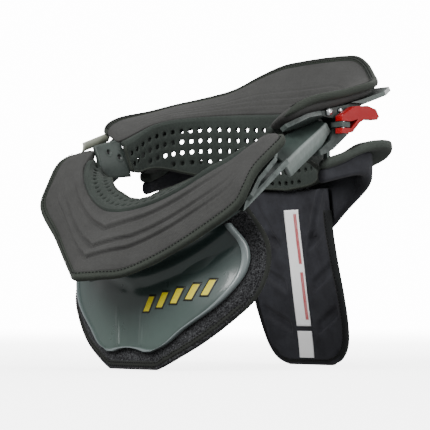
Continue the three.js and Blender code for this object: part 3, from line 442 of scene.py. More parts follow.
# Materials
class Look:
    """A node material with short helpers for its inputs."""

    def __init__(self, name, roughness=0.5, metallic=0.0, specular=0.5, sheen=0.0, sheen_tint=None,
                 sheen_roughness=0.5, coat=0.0, coat_roughness=0.1):
        self.material = bpy.data.materials.new(name)
        self.material.use_nodes = True
        self.tree = self.material.node_tree
        self.shader = self.tree.nodes["Principled BSDF"]
        sockets = self.shader.inputs
        sockets["Roughness"].default_value = roughness
        sockets["Metallic"].default_value = metallic
        sockets["Specular IOR Level"].default_value = specular
        sockets["Sheen Weight"].default_value = sheen
        sockets["Sheen Roughness"].default_value = sheen_roughness
        if sheen_tint:
            sockets["Sheen Tint"].default_value = (*sheen_tint, 1)
        sockets["Coat Weight"].default_value = coat
        sockets["Coat Roughness"].default_value = coat_roughness
        coordinates = self.tree.nodes.new("ShaderNodeTexCoord")
        self.place = coordinates.outputs["Object"]
        self.uv = coordinates.outputs["UV"]

    def put(self, value, socket):
        if isinstance(value, bpy.types.NodeSocket):
            self.tree.links.new(value, socket)
        else:
            socket.default_value = value

    def math(self, operation, a, b=0.0, clamp=False):
        node = self.tree.nodes.new("ShaderNodeMath")
        node.operation = operation
        node.use_clamp = clamp
        self.put(a, node.inputs[0])
        self.put(b, node.inputs[1])
        return node.outputs[0]

    def scaled(self, vector, factors):
        node = self.tree.nodes.new("ShaderNodeVectorMath")
        node.operation = "MULTIPLY"
        self.put(vector, node.inputs[0])
        node.inputs[1].default_value = factors
        return node.outputs[0]

    def split(self, vector):
        node = self.tree.nodes.new("ShaderNodeSeparateXYZ")
        self.put(vector, node.inputs[0])
        return node.outputs

    def noise(self, vector, scale, detail=3.0, roughness=0.55, distortion=0.0):
        node = self.tree.nodes.new("ShaderNodeTexNoise")
        self.put(vector, node.inputs["Vector"])
        node.inputs["Scale"].default_value = scale
        node.inputs["Detail"].default_value = detail
        node.inputs["Roughness"].default_value = roughness
        node.inputs["Distortion"].default_value = distortion
        return node.outputs["Fac"]

    def cells(self, vector, scale):
        node = self.tree.nodes.new("ShaderNodeTexVoronoi")
        self.put(vector, node.inputs["Vector"])
        node.inputs["Scale"].default_value = scale
        return node.outputs["Distance"]

    def attribute(self, name):
        node = self.tree.nodes.new("ShaderNodeAttribute")
        node.attribute_name = name
        return node.outputs["Fac"]

    def ramp(self, value, low, high, to_low=0.0, to_high=1.0):
        node = self.tree.nodes.new("ShaderNodeMapRange")
        node.clamp = True
        self.put(value, node.inputs["Value"])
        for key, number in (("From Min", low), ("From Max", high), ("To Min", to_low), ("To Max", to_high)):
            node.inputs[key].default_value = number
        return node.outputs["Result"]

    def mix(self, factor, a, b):
        node = self.tree.nodes.new("ShaderNodeMix")
        node.data_type = "RGBA"
        self.put(factor, node.inputs["Factor"])
        for value, socket in ((a, node.inputs["A"]), (b, node.inputs["B"])):
            if isinstance(value, tuple):
                value = (*value[:3], 1.0)
            self.put(value, socket)
        return node.outputs["Result"]

    def weave(self, pitch_u, pitch_v):
        """Over and under threads of a plain weave, from the surface's own lengths."""
        u, v, _ = self.split(self.uv)
        across = self.math("SINE", self.math("MULTIPLY", u, 2 * math.pi / pitch_u))
        length = self.math("SINE", self.math("MULTIPLY", v, 2 * math.pi / pitch_v))
        both = self.math("MULTIPLY", across, length)
        return self.math("ADD", self.math("MULTIPLY", both, 0.5), 0.5)

    def bump(self, height, distance, strength=1.0, below=None):
        node = self.tree.nodes.new("ShaderNodeBump")
        node.inputs["Distance"].default_value = distance
        node.inputs["Strength"].default_value = strength
        self.put(height, node.inputs["Height"])
        if below is not None:
            self.put(below, node.inputs["Normal"])
        return node.outputs["Normal"]

    def finish(self, colour, normal=None, roughness=None):
        if isinstance(colour, tuple):
            colour = (*colour[:3], 1.0)
        self.put(colour, self.shader.inputs["Base Color"])
        if normal is not None:
            self.put(normal, self.shader.inputs["Normal"])
        if roughness is not None:
            self.put(roughness, self.shader.inputs["Roughness"])
        return self.material


def srgb(*levels):
    """Linear colour from 0 to 255 screen levels."""
    shares = [c / 255 for c in levels]
    return tuple(c / 12.92 if c <= 0.04045 else ((c + 0.055) / 1.055) ** 2.4 for c in shares)


def knit(name, thread, shade, pitch=1.1, rough=0.85, depth=0.00012, streak=0.5):
    """Tight stretch fabric: fine weave, heathered threads and long faint streaks."""
    look = Look(name, roughness=rough, specular=0.12, sheen=0.05, sheen_tint=(0.8, 0.78, 0.76),
                sheen_roughness=0.45)
    weave = look.weave(pitch * MM, pitch * MM)
    heather = look.noise(look.scaled(look.uv, (1, 0.35, 1)), 1400, 2, 0.6)
    patches = look.noise(look.place, 45, 4, 0.6)
    streaks = look.noise(look.scaled(look.uv, (1, 0.12, 1)), 420, 3, 0.6)
    tone = look.math("ADD", look.math("MULTIPLY", heather, 0.45), look.math("MULTIPLY", patches, 0.35))
    tone = look.math("ADD", tone, look.math("MULTIPLY", streaks, 0.4 * streak))
    tone = look.ramp(tone, 0.25, 0.8)
    body = look.mix(tone, shade, thread)
    dark = tuple(c * 0.72 for c in shade)
    colour = look.mix(look.ramp(weave, 0.15, 0.6, 0.55, 0.0), body, dark)
    fibres = look.bump(heather, depth * 0.7, 0.5)
    gloss = look.ramp(patches, 0.2, 0.8, rough - 0.07, rough + 0.07)
    return look.finish(colour, look.bump(weave, depth, 0.8, fibres), gloss)


def rubber_foam(name, base, light, grain=900, rough=0.8):
    """Closed foam with a skin: pores, faint mottling and slightly worn high spots."""
    look = Look(name, roughness=rough, specular=0.2, sheen=0.03)
    pores = look.cells(look.place, grain)
    mottle = look.noise(look.place, 60, 4, 0.6)
    fine = look.noise(look.place, 1600, 2)
    colour = look.mix(look.ramp(mottle, 0.3, 0.75), base, light)
    colour = look.mix(look.ramp(pores, 0.0, 0.22, 0.6, 0.0), colour, tuple(c * 0.45 for c in base))
    normal = look.bump(pores, 0.00012, 0.45, look.bump(fine, 0.00008, 0.4))
    return look.finish(colour, normal, look.ramp(mottle, 0.2, 0.8, rough - 0.08, rough + 0.06))


def felt(name, base, light):
    """Brushed loop pile: tangled short fibres that catch the light."""
    look = Look(name, roughness=1.0, specular=0.05, sheen=0.05, sheen_tint=(0.7, 0.72, 0.75),
                sheen_roughness=0.6)
    loops = look.noise(look.place, 900, 4, 0.75, 0.8)
    curls = look.cells(look.place, 700)
    matting = look.noise(look.place, 70, 3)
    colour = look.mix(look.ramp(loops, 0.42, 0.72), base, light)
    colour = look.mix(look.ramp(matting, 0.35, 0.75, 0, 0.35), colour, tuple(c * 0.4 for c in base))
    return look.finish(colour, look.bump(loops, 0.0006, 0.9, look.bump(curls, 0.0003, 0.5)))


def moulded(name, base, pale, rough=0.42, edge=0.5, coat=0.0, flow=0.15, fade=None):
    """Injection-moulded plastic: fine spark grain, faint flow marks, and paler, rubbed edges."""
    look = Look(name, roughness=rough, specular=0.5, coat=coat, coat_roughness=0.2)
    spark = look.noise(look.place, 2600, 2, 0.7)
    marks = look.noise(look.scaled(look.place, (1, 1, 0.35)), 38, 3, 0.6, 0.4)
    geometry = look.tree.nodes.new("ShaderNodeNewGeometry")
    worn = look.ramp(geometry.outputs["Pointiness"], 0.515, 0.58, 0.0, edge)
    rub = look.math("MULTIPLY", worn, look.ramp(look.noise(look.place, 160, 4, 0.7), 0.3, 0.62))
    streaked = tuple(lerp(a, b, 0.35) for a, b in zip(base, pale))
    colour = look.mix(look.ramp(marks, 0.3, 0.8, 0.0, flow * 2), base, streaked)
    colour = look.mix(rub, colour, pale)
    if fade:
        low, high, back_tone = fade
        # towards the back, from y = low to y = high, the colour moves most of the way to the given tone
        colour = look.mix(look.ramp(look.split(look.place)[1], low, high, 0.0, 0.85), colour, back_tone)
    scuffs = look.noise(look.scaled(look.place, (1, 3, 1)), 130, 5, 0.7)
    gloss = look.ramp(scuffs, 0.3, 0.75, rough - 0.07, rough + 0.12)
    return look.finish(colour, look.bump(spark, 0.00004, 0.5), gloss)


def bright_metal(name, base, rough=0.2):
    look = Look(name, roughness=rough, metallic=1.0)
    lines = look.noise(look.scaled(look.place, (1, 1, 9)), 900, 3)
    tarnish = look.noise(look.place, 240, 4, 0.7)
    colour = look.mix(look.ramp(tarnish, 0.45, 0.8, 0, 0.5), base, tuple(c * 0.5 for c in base))
    gloss = look.ramp(tarnish, 0.3, 0.8, rough - 0.05, rough + 0.2)
    return look.finish(colour, look.bump(lines, 0.00003, 0.4), gloss)


def thread(name, base):
    look = Look(name, roughness=0.75, specular=0.2, sheen=0.05)
    twist = look.noise(look.place, 3000, 2)
    colour = look.mix(look.ramp(twist, 0.3, 0.7), tuple(c * 0.7 for c in base), base)
    return look.finish(colour, look.bump(twist, 0.0001, 0.6))


TABLE_CLOTH = knit("table_cloth", srgb(80, 80, 79), srgb(52, 52, 51))
HEM_CLOTH = knit("hem_cloth", srgb(72, 77, 70), srgb(42, 46, 42), pitch=1.3, rough=0.8, streak=0.2)
LINER_CLOTH = knit("liner_cloth", srgb(68, 74, 70), srgb(37, 42, 39), pitch=1.2, rough=0.85)
RIM_CLOTH = knit("rim_cloth", srgb(82, 88, 83), srgb(50, 55, 51), pitch=1.2, rough=0.8)
CHEST_FELT = felt("chest_felt", srgb(9, 9, 11), srgb(96, 97, 99))
CHEST_BINDING = knit("chest_binding", srgb(58, 60, 56), srgb(32, 34, 32), pitch=1.1, rough=0.8)
BACK_FOAM = rubber_foam("back_foam", srgb(34, 34, 38), srgb(54, 55, 60))
BACK_BINDING = knit("back_binding", srgb(46, 48, 48), srgb(24, 25, 26), pitch=1.1, rough=0.75)
FRAME_PLASTIC = moulded("frame_plastic", srgb(50, 60, 57), srgb(128, 138, 135), rough=0.38, edge=0.7)
REAR_PLASTIC = moulded("rear_plastic", srgb(30, 38, 36), srgb(110, 120, 116), rough=0.38, edge=0.5,
                       fade=(0.02, 0.09, srgb(82, 92, 88)))
LEVER_PLASTIC = moulded("lever_plastic", srgb(158, 0, 8), srgb(196, 30, 38), rough=0.34, edge=0.3,
                        coat=0.2, flow=0.05)
BAND_PLASTIC = moulded("band_plastic", srgb(128, 132, 118), srgb(170, 172, 160), rough=0.45, edge=0.6)
CHROME = bright_metal("chrome", srgb(226, 228, 230))
DARK_THREAD = thread("dark_thread", srgb(14, 15, 15))


def dress(obj, material, body):
    """Gives a piece its material, and a body to ride on where it has one of its own."""
    obj.data.materials.clear()
    obj.data.materials.append(material)
    if body:
        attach(obj, body)


# Table pads
GROOVES = {
    "front": dict(shares=(0.29, 0.585, 0.76), kink=0.13, spread=0.13, depth=2.0, crest=1.8),
    "rear": dict(shares=(0.12, 0.24, 0.38), kink=0.0, spread=1.0, depth=0.55, crest=0.5),
}


def groove_shape(x):
    """A soft step across a groove, x millimetres towards the outer edge: it climbs to a crest, then drops."""
    crest = np.exp(-((np.minimum(x, 0) / 5.5) ** 2)) * (x <= 0)
    drop = (x > 0) * (np.exp(-((x / 0.8) ** 2)) - 0.75 * np.exp(-(((x - 2.2) / 1.6) ** 2)))
    return crest + drop


PAD_STATIONS, PAD_COLUMNS = 104, 20


def station_at(k):
    """Station k's share from end to end and its place on the table; the middle gets more, for the grooves."""
    t = 2 * k / PAD_STATIONS - 1
    return t, math.copysign(0.6 * abs(t) + 0.4 * t * t, t)


def from_grooves(pad, shape):
    """How far each point is from each groove, in millimetres towards the outer edge."""
    share, place = read_attribute(pad, "share"), np.abs(read_attribute(pad, "place"))
    for centre in shape["shares"]:
        line = centre - shape["kink"] * (1 - np.exp(-place / shape["spread"]))
        yield (share - line) * read_attribute(pad, "width")


def table_pad(name, table, grooves, body, node):
    """The foam pad: a crowned, rounded form whose cover is blown up a little between the grooves."""
    rings, shares, places, pins, ribs, widths = [], [], [], [], [], []
    for k in range(PAD_STATIONS + 1):
        t, at = station_at(k)
        s = Station(table, at)
        width = s.width - s.hem + 0.9
        end = math.sqrt(max(0.0, 1 - max(0, (abs(t) - 0.965) / 0.035) ** 2))
        ring, share, pin = [], [], []
        for i in range(PAD_COLUMNS + 1):
            w = i / PAD_COLUMNS
            w_eased = 0.5 - 0.5 * math.cos(math.pi * w) if 0 < i < PAD_COLUMNS else w
            w_mix = lerp(w, w_eased, 0.5)
            crown = 2.4 * math.sin(math.pi * min(1, max(0, w_mix))) ** 0.55
            ring.append(s.point(w_mix * width, -1.4 + (crown + 0.2) * lerp(0.3, 1, end)))
            share.append(w_mix)
            pin.append(1.0 if i in (0, PAD_COLUMNS) else 0.0)
        for w, h in ((1.0, -0.55), (0.98, -1.0), (0.66, -1.0), (0.33, -1.0), (0.02, -1.0), (0.0, -0.55)):
            ring.append(s.point(w * width, h * (s.depth - 0.2) * lerp(0.5, 1, end)))
            share.append(w)
            pin.append(1.0)
        if k in (0, PAD_STATIONS):
            pin = [1.0] * len(pin)
        rings.append(ring)
        shares.append(share)
        places.append([at] * len(ring))
        pins.append(pin)
        ribs.append([s.rib] * len(ring))
        widths.append([s.width] * len(ring))
    pad = swept(name, rings, dict(share=shares, place=places, pin=pins, rib=ribs, width=widths))
    shape = GROOVES[grooves]
    pin, rib = read_attribute(pad, "pin"), read_attribute(pad, "rib")
    for x in from_grooves(pad, shape):
        pin = np.maximum(pin, np.isclose((np.abs(x) < 2.2) * rib, 1) * 0.5)
    pin[-2:] = 1.0
    puff(pad, pin, cap=1.6)
    subdivide(pad, 2)
    points, normals = read_points(pad), read_normals(pad)
    share, rib = read_attribute(pad, "share"), read_attribute(pad, "rib")
    move = np.zeros(len(points))
    for x in from_grooves(pad, shape):
        move += groove_shape(x) * np.where(x < 0, shape["crest"], shape["depth"])
    near = smoothstep(0.02, 0.1, share) * smoothstep(0.99, 0.9, share)
    move *= rib * near * (normals[:, 2] > 0)
    write_points(pad, points + normals * move[:, None] * MM)
    dress(pad, TABLE_CLOTH, body)
    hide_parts(node)


def table_hem(name, table, body, node, doubled):
    """The bound edge of a table, with its stitches and the fold line where the cover is turned under."""
    rings = []
    for k in range(PAD_STATIONS + 1):
        t, at = station_at(k)
        s = Station(table, at)
        inner = s.width - s.hem
        end = math.sqrt(max(0.06, 1 - max(0, (abs(t) - 0.97) / 0.03) ** 2))
        profile = [
            (0.02, -HEM_THICKNESS), (0.02, -1.8), (0.08, -0.7), (0.2, -0.15), (0.35, 0.0),
            (0.48, -0.28), (0.56, -0.28), (0.68, 0.0), (0.84, -0.3), (0.95, -1.2),
            (1.0, -2.6), (0.98, -4.2), (0.88, -5.4), (0.7, -HEM_THICKNESS),
        ]
        ring = []
        for w, h in profile:
            mid = -HEM_THICKNESS / 2
            ring.append(s.point(inner + w * s.hem, mid + (h - mid) * end))
        rings.append(ring)
    hem = swept(name, rings)
    subdivide(hem, 1)
    dress(hem, HEM_CLOTH, body)
    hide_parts(node)
    lines = [0.3] if not doubled else [0.25, 0.52]
    for number, share in enumerate(lines):
        line, ups = [], []
        for k in range(161):
            at = (2 * k / 160 - 1) * 0.975
            s = Station(table, at)
            line.append(s.point(s.width - s.hem * (1 - share), -0.1))
            ups.append(s.up)
        row = stitches(f"{name}_stitches_{number + 1}", line, ups)
        dress(row, DARK_THREAD, body)


table_pad("front_cushion", FRONT, "front", "front", "front_table_pad")
table_pad("rear_cushion", REAR, "rear", "rear", "rear_table_pad")
table_hem("front_binding", FRONT, "front", "front_table_hem", False)
table_hem("rear_binding", REAR, "rear", "rear_table_hem", True)


# Perforated liners
def liner_curve(table, hang, drop, extent):
    """The liner's top line, the way its wall runs and its depth, at even steps along it."""
    raw = []
    for k in range(401):
        s = Station(table, extent * (2 * k / 400 - 1))
        lip = along(hang, "lip", s.a)
        if "turn" in hang[0]:
            turn = math.radians(along(hang, "turn", s.a))
        else:
            turn = math.acos(max(-LINER_LEAN, s.across[2]))
        wall = np.array([-math.cos(turn), -math.sin(turn)])
        out = np.array([-wall[1], wall[0]])
        top = np.array([-LIP_REACH, -LIP_DROP]) * lip
        place = lambda q, s=s: s.point(q[0], q[1])
        raw.append(dict(
            top=place(top), down=place(top + wall) - place(top), out=place(top + out) - place(top),
            lip=place((-0.5 * LIP_REACH * lip, 0.1)), seat=place((1.6, -2.8)),
            depth=drop * along(hang, "liner", s.a)))
    d = distances([r["top"] for r in raw])
    count = int(round(d[-1] / HOLE_SPACING))
    columns = {key: np.array([r[key] for r in raw]) for key in raw[0]}

    def read(values, where):
        if values.ndim == 1:
            return float(np.interp(where, d, values))
        return np.array([np.interp(where, d, part) for part in values.T])

    steps = np.linspace(0, d[-1], 4 * count + 1)
    return [{key: read(values, where) for key, values in columns.items()} for where in steps], count


def liner(name, table, hang, drop, extent, body, node, first, rows):
    """A padded wall pierced by rows of round holes, with its rolled top lip and a bound lower edge."""
    line, count = liner_curve(table, hang, drop, extent)

    def between(u, key):
        x = min(max(u * 4, 0), len(line) - 1.001)
        i = int(x)
        return line[i][key] * (1 - (x - i)) + line[i + 1][key] * (x - i)

    def at(u, depth, through):
        """u in cells along the wall, depth from its top, through from 0 at the neck's side to 1 outside."""
        soft = 0.35 * math.sin(math.pi * min(1, max(0, depth / max(1, between(u, "depth")))))
        outwards = through * LINER_THICKNESS - soft * (1 - through)
        return between(u, "top") + between(u, "down") * depth + between(u, "out") * outwards

    def row_edges(row, u):
        """How far down a row of cells starts and ends; the first and last have no holes."""
        end, start = between(u, "depth"), first - HOLE_PITCH / 2
        top = min(end, max(0, start + (row - 1) * HOLE_PITCH)) if row else 0.0
        return top, min(end, start + row * HOLE_PITCH) if row <= rows else end

    verts, faces, uvs = [], [], []
    index = {}

    def vertex(u, depth, through):
        key = (round(u, 4), round(depth, 3), through)
        if key not in index:
            index[key] = len(verts)
            verts.append(at(u, depth, through))
            uvs.append((u * HOLE_SPACING, depth))
        return index[key]

    sides = 16

    def hole(u, depth, ratio, through):
        turns = [math.pi * (1.25 + 2 * k / sides) for k in range(sides)]
        radius = HOLE_RADIUS * ratio
        return [vertex(u + math.cos(turn) * radius / HOLE_SPACING, depth + math.sin(turn) * radius, through)
                for turn in turns]

    for cell in range(count):
        for row in range(rows + 2):
            if all(low - top < 0.05 for top, low in (row_edges(row, u) for u in (cell, cell + 1))):
                continue
            centre_u, centre_d = cell + 0.5, first + (row - 1) * HOLE_PITCH
            pierced = 1 <= row <= rows and centre_d + HOLE_RADIUS + 2.2 < between(centre_u, "depth")
            quarters = [k / 4 for k in range(4)]
            border = [(q, 0) for q in quarters] + [(1, q) for q in quarters]
            border += [(1 - q, 1) for q in quarters] + [(0, 1 - q) for q in quarters]
            border = [(cell + u, lerp(*row_edges(row, cell + u), v)) for u, v in border]
            for through in (0, 1):
                outer = [vertex(u, d, through) for u, d in border]
                if pierced:
                    holes = []
                    for ratio, push in ((1.3, 0.0), (1.0, 0.1)):
                        holes.append(hole(centre_u, centre_d, ratio, abs(through - push)))
                    for a, b in ((outer, holes[0]), (holes[0], holes[1])):
                        for k in range(sides):
                            j = (k + 1) % sides
                            quad = (a[k], a[j], b[j], b[k])
                            faces.append(quad if through else quad[::-1])
                    if through:
                        inside = hole(centre_u, centre_d, 1.0, 0.1)
                        for k in range(sides):
                            j = (k + 1) % sides
                            faces.append((holes[1][k], holes[1][j], inside[j], inside[k]))
                else:
                    distinct = [v for i, v in enumerate(outer) if v != outer[i - 1]]
                    if len(set(distinct)) >= 3:
                        middle = vertex(centre_u, lerp(*row_edges(row, centre_u), 0.5), through)
                        for i in range(len(distinct)):
                            a, b = distinct[i], distinct[(i + 1) % len(distinct)]
                            faces.append((a, b, middle) if through else (b, a, middle))
    wall = new_object(name, verts, faces, uvs)
    dress(wall, LINER_CLOTH, body)
    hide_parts(node)

    # lip rolled over the foam's upper edge, closing the wall's top
    rings = []
    for p in line[::2]:
        top, down, out = p["top"], p["down"], p["out"]
        rings.append([
            top + down * 1.2 - out * 0.15, top - down * 0.4 + out * 0.2,
            lerp(top, p["lip"], 0.55) - down * 0.15, p["lip"], lerp(p["lip"], p["seat"], 0.6),
            p["seat"], p["seat"] + down * 3,
            top + out * (LINER_THICKNESS + 0.2) + down * 3.2,
            top + out * (LINER_THICKNESS + 0.15) + down * 1.5,
            top + out * LINER_THICKNESS * 0.6 + down * 1.0,
        ])
    lip = swept(name + "_lip", rings)
    subdivide(lip, 1)
    dress(lip, LINER_CLOTH, body)

    # bound lower edge and the two ends
    edge = [p["top"] + p["down"] * p["depth"] + p["out"] * LINER_THICKNESS / 2 for p in line]
    ups = [p["down"] for p in line]
    band = oval_tube(name + "_edge", edge[::2], ups[::2], LINER_THICKNESS + 1.0, 2.2)
    dress(band, HEM_CLOTH, body)
    for number, p in ((1, line[0]), (2, line[-1])):
        down_line = [p["top"] + p["down"] * p["depth"] * k / 8 + p["out"] * LINER_THICKNESS / 2
                     for k in range(9)]
        side = oval_tube(f"{name}_end_{number}", down_line, p["out"], 2.2, LINER_THICKNESS + 0.8)
        dress(side, HEM_CLOTH, body)


liner("rear_lining", REAR, REAR_HANG, 56, 0.985, "rear", "rear_liner", 7.0, 6)
liner("front_lining", FRONT, FRONT_HANG, 20, 0.865, "front", "front_liner", 6.0, 2)


# Chest plate and pad
CHEST_Y, CHEST_REACH, CHEST_TOP, CHEST_HALF = -76, 72, 124, 108
SHELL_HALF, SHELL_FACE, MARKS = 97, 3.6, 5


def chest_surface(x, z):
    at = min(1, max(0, z / CHEST_TOP))
    bend = (x / CHEST_HALF) ** 2
    share = along(CHEST_SURFACE, "middle", at) + along(CHEST_SURFACE, "wrap", at) * bend
    return CHEST_Y + share * CHEST_REACH


def row_place(rows, half, bottom, height, lift):
    def place(s, t):
        at = t ** 1.3
        x = s * along(rows, "half", at) * half
        return x, bottom + at * height + (along(rows, "lift", at) * lift * s * s if lift else 0)
    return place


def shell_place(s, t):
    x, z = row_place(SHELL_ROWS, SHELL_HALF, 14, 86, 9)(s, t)
    return x, z + 3 * max(0, 1 - (s / 0.7) ** 2) * max(0, 1 - t / 0.2)


def shell_relief(x, z, s, t):
    """How far the shell stands out from its plain curve: ridges, the sweeping crease, the raised rim."""
    ridges = 0.0
    for foot, head in ((-12, -19), (13, 10)):
        where = lerp(foot, head, min(1, max(0, (z - 16) / 34)))
        fade = 1 - ease(36, 52, z)
        ridges += 0.9 * fade * bell(x - where, 1.6)
    between = -0.8 * (1 - ease(30, 56, z)) * ease(20, 8, abs(x))
    # crease: runs level under the table in the middle and sweeps up to the shell's upper corners
    crease_z = 62 + 40 * (abs(x) / SHELL_HALF) ** 1.7
    off = z - crease_z
    crease = -1.7 * bell(off, 4.5) + 1.3 * bell(off - 8, 5.0) - 1.2 * bell(off - 15, 4.0)
    crease *= ease(0.0, 12, abs(x)) * 0.6 + 0.4
    dish = -2.2 * math.exp(-(((abs(x) - 62) / 20) ** 2 + ((z - 74) / 17) ** 2))
    edge = abs(s)
    rim = ease(0.952, 0.966, edge)
    foot = ease(0.06, 0.042, t)
    lip = max(rim, foot)
    inside = max(ease(0.9, 0.955, edge) * (1 - rim), ease(0.11, 0.055, t) * (1 - foot))
    calm = 1 - max(rim, foot, inside * 0.8)
    return (ridges + between + crease + dish) * calm + 1.5 * lip - 0.5 * inside, lip


def chest_shell():
    edges = [s * e for s in (-1, 1) for e in (0.952, 0.959, 0.966, 0.992)]
    columns = sorted(set([-1, 1] + [round(x, 4) for x in np.linspace(-0.985, 0.985, 96)] + edges))
    rows = sorted(set([0, 1] + [round(x, 4) for x in np.linspace(0.012, 0.985, 64)] + [0.042, 0.05, 0.06]))
    front, back, rims = [], [], []
    for t in rows:
        line, under, rim_line = [], [], []
        for s in columns:
            x, z = shell_place(s, t)
            relief, lip = shell_relief(x, z, s, t)
            y = chest_surface(x, z)
            border = max(0, (abs(s) - 0.985) / 0.015, (0.012 - t) / 0.012, (t - 0.985) / 0.015)
            line.append((x, y - SHELL_FACE - relief + 1.2 * border ** 2, z))
            under.append((x, y - 1.0, z))
            rim_line.append(lip)
        front.append(line)
        back.append(under)
        rims.append(rim_line)
    shell = slab("chest_shell", front, back, dict(rim=rims))
    look = Look("shell_plastic", roughness=0.3, specular=0.5, coat=0.35, coat_roughness=0.12)
    rim = look.attribute("rim")
    flow = look.noise(look.scaled(look.place, (1, 1, 0.5)), 24, 4, 0.6, 0.3)
    spark = look.noise(look.place, 2400, 2, 0.7)
    scuffs = look.noise(look.place, 70, 4, 0.6)
    # painted shade: the shell's colour is lighter at its foot and darkens upwards from 0.02 m to 0.1 m, under
    # the front table
    low = look.ramp(look.split(look.place)[2], 0.02, 0.1)
    body = look.mix(low, srgb(72, 86, 81), srgb(46, 60, 58))
    body = look.mix(look.ramp(flow, 0.35, 0.8, 0, 0.4), body, srgb(34, 46, 46))
    colour = look.mix(rim, body, srgb(112, 121, 121))
    colour = look.mix(look.ramp(scuffs, 0.7, 0.85, 0, 0.05), colour, srgb(90, 100, 98))
    material = look.finish(colour, look.bump(spark, 0.00003, 0.4), look.ramp(scuffs, 0.3, 0.8, 0.27, 0.36))
    dress(shell, material, "front")
    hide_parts("chest_plate")


def chest_marks():
    """Slanted dashes pressed on the shell, each with a dark outline."""
    look = Look("mark_ink", roughness=0.45, specular=0.5, coat=0.2)
    edge = look.attribute("edge")
    wear = look.noise(look.place, 700, 4, 0.7)
    yellow = look.mix(look.ramp(wear, 0.35, 0.75), srgb(224, 208, 0), srgb(200, 182, 0))
    colour = look.mix(look.ramp(edge, 0.3, 0.55), yellow, srgb(22, 23, 10))
    material = look.finish(colour, look.bump(wear, 0.00004, 0.5), look.ramp(wear, 0.3, 0.8, 0.38, 0.6))
    for i in range(MARKS):
        front, back, edges = [], [], []
        for t in np.linspace(0, 1, 15):
            line, under, border = [], [], []
            for s in np.linspace(-1, 1, 11):
                x = 18 + i * 13 + s * 4 + (t - 0.5) * 6
                z = 50 + i * 3 + (t - 0.5) * 14
                relief, _ = shell_relief(x, z, x / SHELL_HALF, 0.5)
                y = chest_surface(x, z) - SHELL_FACE - relief
                out = max(abs(s), abs(2 * t - 1) * 1.08 - 0.08)
                line.append((x, y - 0.45 * (1 - max(0, (out - 0.9) / 0.1) ** 2 * 0.7), z))
                under.append((x, y + 0.3, z))
                border.append(ease(0.62, 0.8, max(abs(s), (abs(2 * t - 1) - 0.4) / 0.6)))
            front.append(line)
            back.append(under)
            edges.append(border)
        mark = slab(f"mark_{i + 1}", front, back, dict(edge=edges))
        dress(mark, material, "front")
        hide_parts(f"chest_mark_{i + 1}")


def border_line(place, surface, off, inset_s, inset_t):
    """A line round a panel, a little in from its border: upper left, round the foot, upper right."""
    path = [(-1 + inset_s, t) for t in np.linspace(1, inset_t, 60)]
    path += [(s, inset_t) for s in np.linspace(-1 + inset_s, 1 - inset_s, 50)]
    path += [(1 - inset_s, t) for t in np.linspace(inset_t, 1, 60)]
    points = []
    for s, t in path:
        x, z = place(s, t)
        points.append((x, surface(x, z) + off, z))
    return resample(points, 2.2)


def chest_cushion():
    place = row_place(CHEST_PAD_ROWS, CHEST_HALF, 0, 98, 26)
    front, back, pins = [], [], []
    rows = np.linspace(0, 1, 26)
    columns = np.linspace(-1, 1, 45)
    for t in rows:
        line, under, pin = [], [], []
        for s in columns:
            x, z = place(s * 0.99, 0.008 + t * 0.985)
            y = chest_surface(x, z)
            border = max(abs(s) ** 8, (2 * t - 1) ** 10)
            line.append((x, y + 0.1 + 0.6 * border, z))
            under.append((x, y + 7.2 * (1 - 0.5 * border), z))
            pin.append(1.0 if max(abs(s), abs(2 * t - 1)) > 0.9 else 0.0)
        front.append(line)
        back.append(under)
        pins.append(pin)
    pad = slab("chest_cushion", front, back, dict(pin=pins))
    pin = read_attribute(pad, "pin")
    half = len(pin) // 2
    pin[:half] = 1.0
    puff(pad, pin, cap=1.2)
    subdivide(pad, 1)
    keep_above(pad, 0.0004)
    dress(pad, CHEST_FELT, "front")
    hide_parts("chest_pad")

    # binding folded over the border, with a row of stitches each side of its fold
    line = border_line(place, chest_surface, 3.4, 0.0, 0.012)
    inner = resample(border_line(place, chest_surface, 3.4, 0.06, 0.05), 1.0)

    def inward_at(point):
        inward = inner[np.argmin(np.linalg.norm(inner - point, axis=1))] - point
        inward[1] = 0
        return unit(inward)

    section = [(0.2, 0.6), (0.6, -1.6), (2.2, -3.2), (4.6, -3.75), (6.6, -3.6), (7.0, -3.3), (6.6, 3.0),
               (3.0, 2.9), (0.9, 2.4)]
    rings = [[point + inward_at(point) * a + BACKWARD * b for a, b in section] for point in line]
    binding = swept("chest_pad_binding", rings)
    subdivide(binding, 1)
    keep_above(binding, 0.0)
    dress(binding, CHEST_BINDING, "front")
    for number, inset, off in ((1, 3.0, -3.47), (2, 5.6, -3.72)):
        seam = [point + inward_at(point) * inset + BACKWARD * off for point in line]
        row = stitches(f"chest_pad_stitches_{number}", seam, -BACKWARD, pitch=2.6)
        dress(row, DARK_THREAD, "front")


chest_shell()
chest_marks()
chest_cushion()


# Back pad
STRUT_HALF, STRUT_HEIGHT, STRUT_FACE = 49.5, 143, 6.4
WING_HALF, WING_REACH, WING_TOP, RIM_OVER, WING_STATIONS, WING_STEPS = 106, 107, 166, 14, 110, 14


def strut_surface(x, z):
    at = min(1, max(0, z / STRUT_HEIGHT))
    bend = (x / STRUT_HALF) ** 2
    return 104 + along(STRUT_ROWS, "lean", at) * 20 - along(STRUT_ROWS, "wrap", at) * 9 * bend


strut_place = row_place(STRUT_ROWS, STRUT_HALF, 0, STRUT_HEIGHT, 0)


def slanted_recess(x, z):
    """Herringbone hollows that climb outward from the middle, and two ridges that open to the top."""
    side = abs(x)
    phase = (z - 0.55 * side) / 34.0 + 0.35
    bar = abs((phase % 1) - 0.5) * 2
    hollow = ease(0.66, 0.8, bar) * ease(14, 16.5, side) * ease(43, 40, side)
    hollow *= ease(6, 16, z) * ease(118, 96, z)
    ridge_x = lerp(13, 36, min(1, max(0, (z - 94) / 49)))
    ridge = bell(side - ridge_x, 2.2) * ease(84, 100, z)
    channel = bell(side - ridge_x - 5.0, 2.8) * ease(88, 104, z)
    return -2.6 * hollow + 1.8 * ridge - 1.3 * channel


